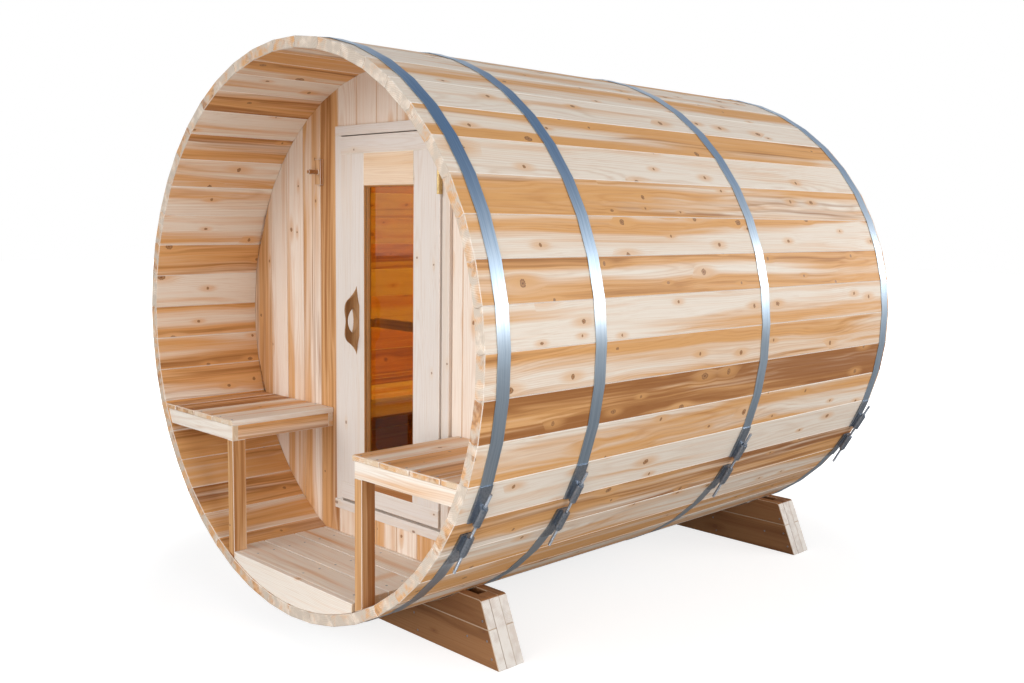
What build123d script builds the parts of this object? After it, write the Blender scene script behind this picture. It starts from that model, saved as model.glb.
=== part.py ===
"""Barrel sauna: a lying wooden barrel with an open porch, a glazed door and a room behind it.

Millimetres, +Z up. The origin is on the ground under the middle of the barrel.
The porch looks along -Y, and +X is on the right of someone who faces the door.
"""
from build123d import *
from math import cos, radians, sin, sqrt, tan
import os

# Barrel
BARREL_LENGTH = 2370.0
OUTER_RADIUS = 991.0
STAVE_COUNT = 47
STAVE_THICKNESS = 38.0
STAVE_GAP = 0.3
BEAD_CHORD = 24.0
BEAD_RISE = 4.0
AXIS_HEIGHT = 1070.0

# How far a cutting box or drum reaches beyond the wood that it cuts
OVERCUT = 10.0

HALF_LENGTH = BARREL_LENGTH / 2
FRONT_RIM = -HALF_LENGTH
STAVE_ANGLE = 360.0 / STAVE_COUNT
OUTER_APOTHEM = OUTER_RADIUS * cos(radians(STAVE_ANGLE / 2))
INNER_APOTHEM = OUTER_APOTHEM - STAVE_THICKNESS
SCRIBE_PLAY = 0.3
SCRIBE_RADIUS = INNER_APOTHEM - SCRIBE_PLAY

# End walls, let into grooves in the staves
WALL_THICKNESS = 38.0
PORCH_DEPTH = 454.0
BACK_RECESS = 60.0
GROOVE_DEPTH = 6.0
GROOVE_PLAY = 0.3
GROOVE_END_PLAY = 0.4
WALL_RADIUS = INNER_APOTHEM + GROOVE_DEPTH - GROOVE_END_PLAY
WALL_FACE = FRONT_RIM + PORCH_DEPTH
WALL_INSIDE = WALL_FACE + WALL_THICKNESS
BACK_OUTSIDE = HALF_LENGTH - BACK_RECESS
BACK_INSIDE = BACK_OUTSIDE - WALL_THICKNESS

# Door frame: heights are measured from the barrel's axis
FRAME_HALF_WIDTH = 335.0
FRAME_PROUD = 14.0
JAMB_FACE = 39.0
STOP_WIDTH = 17.0
STOP_CLEARANCE = 5.0
HEAD_TOP = 745.0
HEAD_BOTTOM = 709.0
SILL_TOP = -712.0
SILL_BOTTOM = -748.0
SILL_OVERHANG = 8.0
SILL_PROUD = 16.0

# Door leaf
LEAF_HALF_WIDTH = 291.0
LEAF_TOP = 704.0
LEAF_BOTTOM = -699.0
LEAF_PROUD = 20.0
LEAF_THICKNESS = 40.0
STILE_WIDTH = 144.0
TOP_RAIL_HEIGHT = 65.0
BOTTOM_RAIL_HEIGHT = 65.0
GLASS_TOP = 520.0
GLASS_BOTTOM = -500.0
GLASS_THICKNESS = 6.0
GLASS_SETBACK = 28.0
GLASS_REBATE = 10.0
GLASS_PLAY = 0.3
LEAF_FACE = WALL_FACE - LEAF_PROUD
LEAF_BACK = LEAF_FACE + LEAF_THICKNESS

# Butt hinges: the leaves lie in the gap beside the door, and only the knuckles show
HINGE_X = LEAF_HALF_WIDTH + 2.5
HINGE_HEIGHTS = (526.0, -500.0)
HINGE_LENGTH = 84.0
HINGE_PIN_RADIUS = 3.5
KNUCKLE_RADIUS = 7.0
KNUCKLE_SIDES = 14
KNUCKLE_STANDOFF = 8.5
HINGE_LEAF_THICKNESS = 1.5
HINGE_LEAF_DEPTH = 30.0
HINGE_LEAF_SPACE = 1.8
HINGE_PLAY = 0.6
HINGE_PIN_PLAY = 0.5
HINGE_Y = LEAF_FACE - KNUCKLE_STANDOFF

# Pull handle on the left stile
HANDLE_X = -191.0
HANDLE_MIDDLE = 10.5
HANDLE_HALF_LENGTH = 132.5
HANDLE_DEPTH = 53.0
HANDLE_WAIST_DEPTH = 50.0
HANDLE_BASE_HALF_WIDTH = 17.5
HANDLE_GRIP_HALF_WIDTH = 5.0
GRIP_HOLE_NEAR = 5.0
GRIP_HOLE_TIP = 19.0
GRIP_HOLE_FAR = 42.5
GRIP_HOLE_HALF_LENGTH = 50.0
# The outer curve as shares of the depth and of the half length, from the top point to the upper swelling
HANDLE_BELLY = ((0, 1), (0.17, 0.82), (0.42, 0.70), (0.82, 0.58), (1, 0.43))
# The front view as shares of the base width and of the half length, from the top point to the widest place
HANDLE_FRONT = ((0, 1), (0.4, 0.68), (1, 0.43))
HANDLE_FLANK_DEPTH = 14.0
HANDLE_FLANK_SWELL = 4.0

# Bar on the inside of the door
BAR_HALF_LENGTH = 235.0
BAR_HEIGHT = 37.0
BAR_DEPTH = 22.0
BAR_CLEARANCE = 36.0
BAR_BLOCK_LENGTH = 60.0

# Floors
FLOOR_TOP = -849.0
FLOOR_THICKNESS = 32.0
FLOOR_RIGHT_EDGE = 353.0
FLOOR_JOINTS = (162.0, 299.0, 436.0)
FLOOR_JOINT_WIDTH = 3.0
FLOOR_JOINT_DEPTH = 14.0
FASCIA_SETBACK = 3.0
FASCIA_THICKNESS = 22.0
FASCIA_SIDE_SPACE = 3.0
FASCIA_RIGHT_CUT = 10.0
FLOOR_NOTCH_PLAY = 2.0

# Porch benches
SEAT_TOP = -352.0
SLAT_THICKNESS = 20.0
SLAT_PITCH = 144.7
SLAT_SPACE = 5.0
SEAT_INNER_EDGE = 372.0
SLATS_PER_SEAT = 4
APRON_HEIGHT = 56.0
APRON_THICKNESS = 22.0
APRON_SETBACK = 6.0
LEG_THICKNESS = 38.0
LEG_DEPTH = 54.0

# Room benches
ROOM_SEAT_TOP = -326.0
ROOM_SEAT_INNER_EDGE = 305.0
ROOM_APRON_SETBACK = 4.0
ROOM_BENCH_BEARERS = 3

# Towel hook on the wall beside the door
HOOK_BOARD_X = -453.0
HOOK_BOARD_WIDTH = 38.0
HOOK_BOARD_THICKNESS = 15.0
HOOK_BOARD_TOP = 625.0
HOOK_BOARD_BOTTOM = 525.0
HOOK_PEG_RADIUS = 9.0
HOOK_PEG_LENGTH = 45.0

# Steel hoops: the front edge of each, measured from the front rim
HOOP_EDGES = {"hoop_front": 46.7, "hoop_porch": 461.0, "hoop_middle": 1382.5, "hoop_back": 2304.0}
HOOP_WIDTH = 51.0
HOOP_THICKNESS = 1.2
HOOP_PLAY = 0.1

# The threaded rod and two tubes that draw each hoop tight
TENSIONER_ANGLE = -30.2
ROD_LINE = 1008.0
ROD_RADIUS = 5.25
ROD_LENGTH = 313.0
ROD_SHIFT = -12.0
ROD_PLAY = 0.8
TUBE_RADIUS = 12.5
TUBE_LENGTH = 68.0
TUBE_SPACE = 46.0
TUBE_SIDES = 12
TUBE_WELD_WIDTH = 14.0
LUG_PLATE_PLAY = 0.2
LUG_PLATE_THICKNESS = 3.0
LUG_PLATE_WIDTH = 51.0
LUG_PLATE_LENGTH = 130.0

# Cradles
CRADLE_LENGTH = 118.0
CRADLE_FRONT = 340.0
CRADLE_BACK = 2163.0
CRADLE_HALF_BASE = 710.0
CRADLE_HALF_TOP = 618.0
CRADLE_TOP = -852.0
CRADLE_PLATE = 38.0
CRADLE_SHOULDER_RADIUS = 15.0
SADDLE_PLAY = 0.5


def block(x0, x1, y0, y1, z0, z1):
    """A box between three pairs of planes, with z measured from the barrel's axis."""
    middle = ((x0 + x1) / 2, (y0 + y1) / 2, (z0 + z1) / 2 + AXIS_HEIGHT)
    return Pos(*middle) * Box(abs(x1 - x0), abs(y1 - y0), abs(z1 - z0))


def drum(radius, y0, y1):
    """A cylinder on the barrel's axis between two planes."""
    middle = (0, (y0 + y1) / 2, AXIS_HEIGHT)
    return Pos(*middle) * Rot(90, 0, 0) * Cylinder(radius, abs(y1 - y0))


def scribed(shape, y0, y1):
    """What is left of a piece when its edges are cut to the inside of the staves."""
    return shape & drum(SCRIBE_RADIUS, y0, y1)


def mirrored(shape, side):
    """The piece itself on the right (side 1), or its mirror image on the left (side -1)."""
    return shape if side > 0 else shape.mirror(Plane.YZ)


def stave_profile():
    """The end view of the top stave: a bead on its right edge and a matching cove on its left."""
    half = radians(STAVE_ANGLE / 2)
    inner = INNER_APOTHEM * tan(half) - STAVE_GAP / 2
    outer = OUTER_APOTHEM * tan(half) - STAVE_GAP / 2
    edge_length = STAVE_THICKNESS / cos(half)

    def on_edge(side, depth, rise):
        """A point on the right (1) or left (-1) edge, raised towards the right of the stave."""
        x = side * (inner + depth * sin(half)) + rise * cos(half)
        z = INNER_APOTHEM + depth * cos(half) - side * rise * sin(half)
        return (x, z)

    near = (edge_length - BEAD_CHORD) / 2
    far = (edge_length + BEAD_CHORD) / 2
    middle = edge_length / 2
    bead = [on_edge(1, near, 0), on_edge(1, middle, BEAD_RISE), on_edge(1, far, 0)]
    cove = [on_edge(-1, far, 0), on_edge(-1, middle, BEAD_RISE), on_edge(-1, near, 0)]
    edges = [
        Line((-inner, INNER_APOTHEM), (inner, INNER_APOTHEM)),
        Line((inner, INNER_APOTHEM), bead[0]),
        ThreePointArc(*bead),
        Line(bead[2], (outer, OUTER_APOTHEM)),
        Line((outer, OUTER_APOTHEM), (-outer, OUTER_APOTHEM)),
        Line((-outer, OUTER_APOTHEM), cove[0]),
        ThreePointArc(*cove),
        Line(cove[2], (-inner, INNER_APOTHEM)),
    ]
    return make_face(edges)


def stave():
    """One stave at the top of the barrel, grooved for the two end walls."""
    board = extrude(Plane.XZ * stave_profile(), HALF_LENGTH, both=True)
    width = WALL_THICKNESS + 2 * GROOVE_PLAY
    height = GROOVE_DEPTH + 2 * OVERCUT
    z = INNER_APOTHEM + GROOVE_DEPTH - height / 2
    for face in (WALL_FACE, BACK_INSIDE):
        board -= Pos(0, face + WALL_THICKNESS / 2, z) * Box(OUTER_RADIUS, width, height)
    return board


def stave_place(index):
    """Where a stave stands, counted round from the joint at the bottom."""
    turn = 180 + (index + 0.5) * STAVE_ANGLE
    return Pos(0, 0, AXIS_HEIGHT) * Rot(0, turn, 0)


def staves(indices):
    board = stave()
    return Compound(children=[stave_place(i) * board for i in indices])


def hoop_outline(apothem):
    """A ring of flats, one on each stave."""
    radius = apothem / cos(radians(STAVE_ANGLE / 2))
    corners = []
    for i in range(STAVE_COUNT):
        turn = radians(180 + i * STAVE_ANGLE)
        corners.append((radius * sin(turn), radius * cos(turn)))
    return make_face(Polyline(*corners, close=True))


def hoop(front_edge):
    """A flat steel band on the flats of the staves, open between the tubes of its tensioner."""
    inside = OUTER_APOTHEM + HOOP_PLAY
    ring = hoop_outline(inside + HOOP_THICKNESS) - hoop_outline(inside)
    back = FRONT_RIM + front_edge + HOOP_WIDTH
    band = extrude(Pos(0, back, AXIS_HEIGHT) * (Plane.XZ * ring), HOOP_WIDTH)
    opening = Pos(OUTER_RADIUS, 0, 0) * Box(LUG_PLATE_WIDTH, 2 * HOOP_WIDTH, TUBE_SPACE)
    return band - tensioner_place(front_edge) * opening


def tensioner_place(front_edge):
    """The middle of a hoop's tensioner, with +X out of the barrel and Z along the rod."""
    y = FRONT_RIM + front_edge + HOOP_WIDTH / 2
    return Pos(0, y, AXIS_HEIGHT) * Rot(0, -TENSIONER_ANGLE, 0)


def lug(side):
    """A tube for the threaded rod, welded to a plate that is bent to the barrel."""
    middle = side * (TUBE_SPACE + TUBE_LENGTH) / 2
    seat = OUTER_RADIUS + HOOP_PLAY + HOOP_THICKNESS + LUG_PLATE_PLAY
    tube = extrude(RegularPolygon(TUBE_RADIUS, TUBE_SIDES), TUBE_LENGTH / 2, both=True)
    tube = Pos(ROD_LINE, 0, middle) * tube
    weld = Pos(ROD_LINE - TUBE_RADIUS / 2, 0, middle) * Box(2 * TUBE_RADIUS, TUBE_WELD_WIDTH, TUBE_LENGTH)
    bore = extrude(RegularPolygon(ROD_RADIUS + ROD_PLAY, TUBE_SIDES), ROD_LINE, both=True)
    start = side * TUBE_SPACE / 2
    reach = start + side * LUG_PLATE_LENGTH
    blank = Pos(seat, 0, (start + reach) / 2) * Box(LUG_PLATE_WIDTH, LUG_PLATE_WIDTH, LUG_PLATE_LENGTH)
    around = Rot(90, 0, 0) * Cylinder(seat + LUG_PLATE_THICKNESS, 2 * LUG_PLATE_WIDTH)
    inside = Rot(90, 0, 0) * Cylinder(seat, 2 * LUG_PLATE_WIDTH)
    return (tube + weld + (blank & around)) - inside - Pos(ROD_LINE, 0, 0) * bore


def hoop_lugs():
    lugs = []
    for edge in HOOP_EDGES.values():
        for side in (-1, 1):
            lugs.append(tensioner_place(edge) * lug(side))
    return Compound(children=lugs)


def tension_rods():
    rod = extrude(RegularPolygon(ROD_RADIUS, TUBE_SIDES), ROD_LENGTH / 2, both=True)
    rod = Pos(ROD_LINE, 0, ROD_SHIFT) * rod
    return Compound(children=[tensioner_place(edge) * rod for edge in HOOP_EDGES.values()])


def wall(x0, x1, z0, z1):
    """A part of the front wall, cut from its disc."""
    disc = drum(WALL_RADIUS, WALL_FACE, WALL_INSIDE)
    return disc & block(x0, x1, WALL_FACE - OVERCUT, WALL_INSIDE + OVERCUT, z0, z1)


def jamb(side):
    """An upright of the door frame, rebated so that the leaf closes against a stop."""
    outer = FRAME_HALF_WIDTH
    inner = outer - JAMB_FACE
    front = WALL_FACE - FRAME_PROUD
    post = block(inner, outer, front, WALL_INSIDE, SILL_TOP, HEAD_BOTTOM)
    stop = block(inner - STOP_WIDTH, inner, LEAF_BACK + STOP_CLEARANCE, WALL_INSIDE, SILL_TOP, HEAD_BOTTOM)
    return mirrored(post + stop, side)


def door_head():
    front = WALL_FACE - FRAME_PROUD
    head = block(-FRAME_HALF_WIDTH, FRAME_HALF_WIDTH, front, WALL_INSIDE, HEAD_BOTTOM, HEAD_TOP)
    inner = FRAME_HALF_WIDTH - JAMB_FACE - STOP_WIDTH
    lowest = HEAD_BOTTOM - STOP_WIDTH
    stop = block(-inner, inner, LEAF_BACK + STOP_CLEARANCE, WALL_INSIDE, lowest, HEAD_BOTTOM)
    return head + stop


def door_sill():
    half = FRAME_HALF_WIDTH
    lip = half + SILL_OVERHANG
    body = block(-half, half, WALL_FACE, WALL_INSIDE, SILL_BOTTOM, SILL_TOP)
    strip = block(-lip, lip, WALL_FACE - SILL_PROUD, WALL_FACE, SILL_BOTTOM, SILL_TOP)
    inner = FRAME_HALF_WIDTH - JAMB_FACE - STOP_WIDTH
    stop = block(-inner, inner, LEAF_BACK + STOP_CLEARANCE, WALL_INSIDE, SILL_TOP, SILL_TOP + STOP_WIDTH)
    return body + strip + stop


def leaf_board(x0, x1, z0, z1):
    return block(x0, x1, LEAF_FACE, LEAF_BACK, z0, z1)


def leaf_rail(z0, z1):
    return leaf_board(-LEAF_HALF_WIDTH, LEAF_HALF_WIDTH, z0, z1)


def door_stile(side):
    """A full-height stile between the top and bottom rails, grooved for the glass."""
    x1 = LEAF_HALF_WIDTH
    x0 = x1 - STILE_WIDTH
    stile = leaf_board(x0, x1, LEAF_BOTTOM + BOTTOM_RAIL_HEIGHT, LEAF_TOP - TOP_RAIL_HEIGHT)
    return mirrored(stile, side) - glass_slot()


def glass_slot():
    y0 = LEAF_FACE + GLASS_SETBACK - GLASS_PLAY
    y1 = y0 + GLASS_THICKNESS + 2 * GLASS_PLAY
    depth = GLASS_REBATE + GLASS_PLAY
    half = LEAF_HALF_WIDTH - STILE_WIDTH + depth
    return block(-half, half, y0, y1, GLASS_BOTTOM - depth, GLASS_TOP + depth)


def door_infill_rails():
    """The two rails between the stiles, over and under the glass."""
    half = LEAF_HALF_WIDTH - STILE_WIDTH
    over = leaf_board(-half, half, GLASS_TOP, LEAF_TOP - TOP_RAIL_HEIGHT)
    under = leaf_board(-half, half, LEAF_BOTTOM + BOTTOM_RAIL_HEIGHT, GLASS_BOTTOM)
    slot = glass_slot()
    return Compound(children=[over - slot, under - slot])


def door_glass():
    half = LEAF_HALF_WIDTH - STILE_WIDTH + GLASS_REBATE
    y0 = LEAF_FACE + GLASS_SETBACK
    z0 = GLASS_BOTTOM - GLASS_REBATE
    z1 = GLASS_TOP + GLASS_REBATE
    return block(-half, half, y0, y0 + GLASS_THICKNESS, z0, z1)


def handle_side_view():
    """The pull seen along the door: hooked points, two swellings, a waist and a lens-shaped hole."""
    half = HANDLE_HALF_LENGTH
    upper = [(-depth * HANDLE_DEPTH, height * half) for depth, height in HANDLE_BELLY]
    lower = [(y, -z) for y, z in reversed(upper)]
    belly = Spline(*upper, (-HANDLE_WAIST_DEPTH, 0), *lower)
    outline = make_face([Line((0, -half), (0, half)), belly])
    top = (-GRIP_HOLE_TIP, GRIP_HOLE_HALF_LENGTH)
    bottom = (-GRIP_HOLE_TIP, -GRIP_HOLE_HALF_LENGTH)
    near = ThreePointArc(bottom, (-GRIP_HOLE_NEAR, 0), top)
    far = ThreePointArc(top, (-GRIP_HOLE_FAR, 0), bottom)
    return outline - make_face([near, far])


def door_handle():
    """A carved pull that stands off the stile, wide at its base and thin at its grip."""
    half = HANDLE_HALF_LENGTH
    base = HANDLE_BASE_HALF_WIDTH
    grip = HANDLE_GRIP_HALF_WIDTH
    outer = -HANDLE_DEPTH - OVERCUT
    quarter = [(width * base, height * half) for width, height in HANDLE_FRONT]
    right = quarter + [(x, -z) for x, z in reversed(quarter)]
    left = [(-x, z) for x, z in reversed(right[1:-1])]
    front_view = make_face(Polyline(*right, *left, close=True))
    flank = ThreePointArc((base, 0), (grip + HANDLE_FLANK_SWELL, -HANDLE_FLANK_DEPTH), (grip, outer))
    back_edge = Line((-base, 0), (base, 0))
    front_edge = Line((grip, outer), (-grip, outer))
    plan = make_face([back_edge, flank, front_edge, flank.mirror(Plane.YZ)])
    body = extrude(Plane.YZ * handle_side_view(), base + OVERCUT, both=True)
    body &= extrude(Plane.XZ * front_view, 2 * HANDLE_DEPTH, both=True)
    body &= extrude(plan, half + OVERCUT, both=True)
    return Pos(HANDLE_X, LEAF_FACE, AXIS_HEIGHT + HANDLE_MIDDLE) * body


def door_inside_bar():
    """A straight bar across the inside of the door, on a block at each stile."""
    y0 = LEAF_BACK
    y1 = y0 + BAR_CLEARANCE
    bar = block(-BAR_HALF_LENGTH, BAR_HALF_LENGTH, y1, y1 + BAR_DEPTH, -BAR_HEIGHT / 2, BAR_HEIGHT / 2)
    for side in (-1, 1):
        x1 = side * BAR_HALF_LENGTH
        x0 = side * (BAR_HALF_LENGTH - BAR_BLOCK_LENGTH)
        bar += block(x0, x1, y0, y1, -BAR_HEIGHT / 2, BAR_HEIGHT / 2)
    return bar


def prism(radius, height):
    return extrude(RegularPolygon(radius, KNUCKLE_SIDES), height / 2, both=True)


def hinge_leaves(side):
    """Leaves and knuckles of both butt hinges: side -1 on the door, side 1 on the frame."""
    third = HINGE_LENGTH / 3
    knuckle = prism(KNUCKLE_RADIUS, third - HINGE_PLAY)
    carrier = LEAF_FACE if side < 0 else WALL_FACE - FRAME_PROUD
    depth = carrier + HINGE_LEAF_DEPTH - HINGE_Y
    across = side * (HINGE_LEAF_SPACE + HINGE_LEAF_THICKNESS) / 2
    shape = Pos(across, depth / 2, 0) * Box(HINGE_LEAF_THICKNESS, depth, HINGE_LENGTH)
    for step in (-1, 0, 1):
        if (step == 0) == (side > 0):
            shape -= Pos(0, 0, step * third) * Cylinder(KNUCKLE_RADIUS + HINGE_PLAY, third + HINGE_PLAY)
        else:
            shape += Pos(0, 0, step * third) * knuckle
    if side < 0:
        shape -= prism(HINGE_PIN_RADIUS + HINGE_PIN_PLAY, 2 * HINGE_LENGTH)
    else:
        shape += prism(HINGE_PIN_RADIUS, HINGE_LENGTH)
    places = [Pos(HINGE_X, HINGE_Y, AXIS_HEIGHT + height) for height in HINGE_HEIGHTS]
    return Compound(children=[place * shape for place in places])


def porch_floor():
    """Boards scribed to the staves on the left and cut square on the right."""
    y0 = FRONT_RIM + FASCIA_SETBACK + FASCIA_THICKNESS
    under = FLOOR_TOP - FLOOR_THICKNESS
    raft = block(-OUTER_RADIUS, FLOOR_RIGHT_EDGE, y0, WALL_FACE, under, FLOOR_TOP)
    notch_edge = SEAT_INNER_EDGE + APRON_SETBACK - FLOOR_NOTCH_PLAY
    notch_back = FRONT_RIM + APRON_SETBACK + LEG_DEPTH + FLOOR_NOTCH_PLAY
    raft -= block(-OUTER_RADIUS, -notch_edge, y0 - OVERCUT, notch_back, under - OVERCUT, FLOOR_TOP + OVERCUT)
    for joint in FLOOR_JOINTS:
        middle = FRONT_RIM + joint
        half = FLOOR_JOINT_WIDTH / 2
        bottom = FLOOR_TOP - FLOOR_JOINT_DEPTH
        raft -= block(-OUTER_RADIUS, OUTER_RADIUS, middle - half, middle + half, bottom, FLOOR_TOP + OVERCUT)
    return scribed(raft, y0, WALL_FACE)


def floor_fascia():
    y0 = FRONT_RIM + FASCIA_SETBACK
    y1 = y0 + FASCIA_THICKNESS
    reach = SEAT_INNER_EDGE + APRON_SETBACK - FASCIA_SIDE_SPACE
    return scribed(block(-reach, reach - FASCIA_RIGHT_CUT, y0, y1, -OUTER_RADIUS, FLOOR_TOP), y0, y1)


def room_floor():
    half = OUTER_RADIUS
    raft = block(-half, half, WALL_INSIDE, BACK_INSIDE, FLOOR_TOP - FLOOR_THICKNESS, FLOOR_TOP)
    return scribed(raft, WALL_INSIDE, BACK_INSIDE)


def seat(side, inner_edge, top, y0, y1):
    """Seat slats along the barrel, the outermost scribed to the staves."""
    slats = []
    for i in range(SLATS_PER_SEAT):
        x0 = inner_edge + i * SLAT_PITCH
        x1 = x0 + SLAT_PITCH - SLAT_SPACE
        slat = scribed(block(x0, x1, y0, y1, top - SLAT_THICKNESS, top), y0, y1)
        slats.append(mirrored(slat, side))
    return Compound(children=slats)


def porch_seat(side):
    return seat(side, SEAT_INNER_EDGE, SEAT_TOP, FRONT_RIM, WALL_FACE)


def porch_frame(side):
    """Front apron, side apron and the cleat on the wall, joined at their corners."""
    z1 = SEAT_TOP - SLAT_THICKNESS
    z0 = z1 - APRON_HEIGHT
    x0 = SEAT_INNER_EDGE + APRON_SETBACK
    y0 = FRONT_RIM + APRON_SETBACK
    frame = block(x0, OUTER_RADIUS, y0, y0 + APRON_THICKNESS, z0, z1)
    frame += block(x0, x0 + APRON_THICKNESS, y0, WALL_FACE, z0, z1)
    frame += block(x0, OUTER_RADIUS, WALL_FACE - APRON_THICKNESS, WALL_FACE, z0, z1)
    return mirrored(scribed(frame, FRONT_RIM, WALL_FACE), side)


def porch_leg(side):
    z1 = SEAT_TOP - SLAT_THICKNESS - APRON_HEIGHT
    x0 = SEAT_INNER_EDGE + APRON_SETBACK
    y0 = FRONT_RIM + APRON_SETBACK
    leg = block(x0, x0 + LEG_THICKNESS, y0, y0 + LEG_DEPTH, -OUTER_RADIUS, z1)
    return mirrored(scribed(leg, FRONT_RIM, WALL_FACE), side)


def room_seat(side):
    return seat(side, ROOM_SEAT_INNER_EDGE, ROOM_SEAT_TOP, WALL_INSIDE, BACK_INSIDE)


def room_frame(side):
    """The front board of the room bench and the bearers behind it."""
    z1 = ROOM_SEAT_TOP - SLAT_THICKNESS
    z0 = z1 - APRON_HEIGHT
    x0 = ROOM_SEAT_INNER_EDGE + ROOM_APRON_SETBACK
    frame = block(x0, x0 + APRON_THICKNESS, WALL_INSIDE, BACK_INSIDE, z0, z1)
    run = BACK_INSIDE - WALL_INSIDE - APRON_THICKNESS
    for i in range(ROOM_BENCH_BEARERS):
        y0 = WALL_INSIDE + run * i / (ROOM_BENCH_BEARERS - 1)
        frame += block(x0, OUTER_RADIUS, y0, y0 + APRON_THICKNESS, z0, z1)
    return mirrored(scribed(frame, WALL_INSIDE, BACK_INSIDE), side)


def towel_hook():
    """A small upright board with a round peg."""
    x0 = HOOK_BOARD_X - HOOK_BOARD_WIDTH / 2
    y0 = WALL_FACE - HOOK_BOARD_THICKNESS
    board = block(x0, x0 + HOOK_BOARD_WIDTH, y0, WALL_FACE, HOOK_BOARD_BOTTOM, HOOK_BOARD_TOP)
    height = AXIS_HEIGHT + (HOOK_BOARD_TOP + HOOK_BOARD_BOTTOM) / 2
    middle = (HOOK_BOARD_X, y0 - HOOK_PEG_LENGTH / 2 + 1, height)
    return board + Pos(*middle) * Rot(90, 0, 0) * Cylinder(HOOK_PEG_RADIUS, HOOK_PEG_LENGTH)


def cradle_outline():
    """The side view of a cradle plate: sloped ends, flat arms and a round saddle."""
    base = -AXIS_HEIGHT
    corners = [
        (-CRADLE_HALF_BASE, base),
        (CRADLE_HALF_BASE, base),
        (CRADLE_HALF_TOP, CRADLE_TOP),
        (-CRADLE_HALF_TOP, CRADLE_TOP),
    ]
    sheet = make_face(Polyline(*corners, close=True))
    shoulders = sheet.vertices().sort_by(Axis.Y)[-2:]
    return fillet(shoulders, CRADLE_SHOULDER_RADIUS)


def cradle_slab(y0, y1):
    profile = Pos(0, y1, AXIS_HEIGHT) * (Plane.XZ * cradle_outline())
    return extrude(profile, y1 - y0)


def cradle_plates(offset):
    y0 = FRONT_RIM + offset
    y1 = y0 + CRADLE_LENGTH
    saddle = drum(OUTER_RADIUS + SADDLE_PLAY, y0 - OVERCUT, y1 + OVERCUT)
    front = cradle_slab(y0, y0 + CRADLE_PLATE) - saddle
    back = cradle_slab(y1 - CRADLE_PLATE, y1) - saddle
    return Compound(children=[front, back])


def cradle_blocks(offset):
    """The end blocks between a cradle's plates."""
    y0 = FRONT_RIM + offset + CRADLE_PLATE
    y1 = FRONT_RIM + offset + CRADLE_LENGTH - CRADLE_PLATE
    slope = (CRADLE_HALF_BASE - CRADLE_HALF_TOP) / (AXIS_HEIGHT + CRADLE_TOP)
    width = CRADLE_PLATE * sqrt(1 + slope * slope)
    slab = cradle_slab(y0, y1)
    inner = Pos(-width, 0, 0) * slab
    right = slab - inner
    return Compound(children=[right, right.mirror(Plane.YZ)])


NODES = {
    "staves_a": lambda: staves(range(0, STAVE_COUNT - 1, 2)),
    "staves_b": lambda: staves(range(1, STAVE_COUNT - 1, 2)),
    "stave_closing": lambda: staves([STAVE_COUNT - 1]),
    "hoop_lugs": hoop_lugs,
    "tension_rods": tension_rods,
    "front_wall_left": lambda: wall(-OUTER_RADIUS, -FRAME_HALF_WIDTH, -OUTER_RADIUS, OUTER_RADIUS),
    "front_wall_right": lambda: wall(FRAME_HALF_WIDTH, OUTER_RADIUS, -OUTER_RADIUS, OUTER_RADIUS),
    "front_wall_over_door": lambda: wall(-FRAME_HALF_WIDTH, FRAME_HALF_WIDTH, HEAD_TOP, OUTER_RADIUS),
    "front_wall_under_door": lambda: wall(-FRAME_HALF_WIDTH, FRAME_HALF_WIDTH, -OUTER_RADIUS, SILL_BOTTOM),
    "back_wall": lambda: drum(WALL_RADIUS, BACK_INSIDE, BACK_OUTSIDE),
    "door_jamb_left": lambda: jamb(-1),
    "door_jamb_right": lambda: jamb(1),
    "door_head": door_head,
    "door_sill": door_sill,
    "frame_hinge_leaves": lambda: hinge_leaves(1),
    "porch_floor": porch_floor,
    "floor_fascia": floor_fascia,
    "room_floor": room_floor,
    "porch_bench_left_seat": lambda: porch_seat(-1),
    "porch_bench_left_frame": lambda: porch_frame(-1),
    "porch_bench_left_leg": lambda: porch_leg(-1),
    "porch_bench_right_seat": lambda: porch_seat(1),
    "porch_bench_right_frame": lambda: porch_frame(1),
    "porch_bench_right_leg": lambda: porch_leg(1),
    "room_bench_left_seat": lambda: room_seat(-1),
    "room_bench_left_frame": lambda: room_frame(-1),
    "room_bench_right_seat": lambda: room_seat(1),
    "room_bench_right_frame": lambda: room_frame(1),
    "towel_hook": towel_hook,
    "cradle_front_plates": lambda: cradle_plates(CRADLE_FRONT),
    "cradle_front_blocks": lambda: cradle_blocks(CRADLE_FRONT),
    "cradle_back_plates": lambda: cradle_plates(CRADLE_BACK),
    "cradle_back_blocks": lambda: cradle_blocks(CRADLE_BACK),
    "door_stile_left": lambda: door_stile(-1),
    "door_stile_right": lambda: door_stile(1),
    "door_top_rail": lambda: leaf_rail(LEAF_TOP - TOP_RAIL_HEIGHT, LEAF_TOP),
    "door_bottom_rail": lambda: leaf_rail(LEAF_BOTTOM, LEAF_BOTTOM + BOTTOM_RAIL_HEIGHT),
    "door_infill_rails": door_infill_rails,
    "door_glass": door_glass,
    "door_handle": door_handle,
    "door_inside_bar": door_inside_bar,
    "door_hinge_leaves": lambda: hinge_leaves(-1),
}
for name, edge in HOOP_EDGES.items():
    NODES[name] = lambda edge=edge: hoop(edge)

os.makedirs("parts", exist_ok=True)
for name, make in NODES.items():
    export_step(make(), f"parts/{name}.step")
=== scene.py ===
"""Looks of the barrel sauna: grained cedar, knots, hoops, hardware, glass, floor, lamps and camera."""
import bmesh
import bpy
import math
import random
from mathutils import Matrix, Vector


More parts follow.
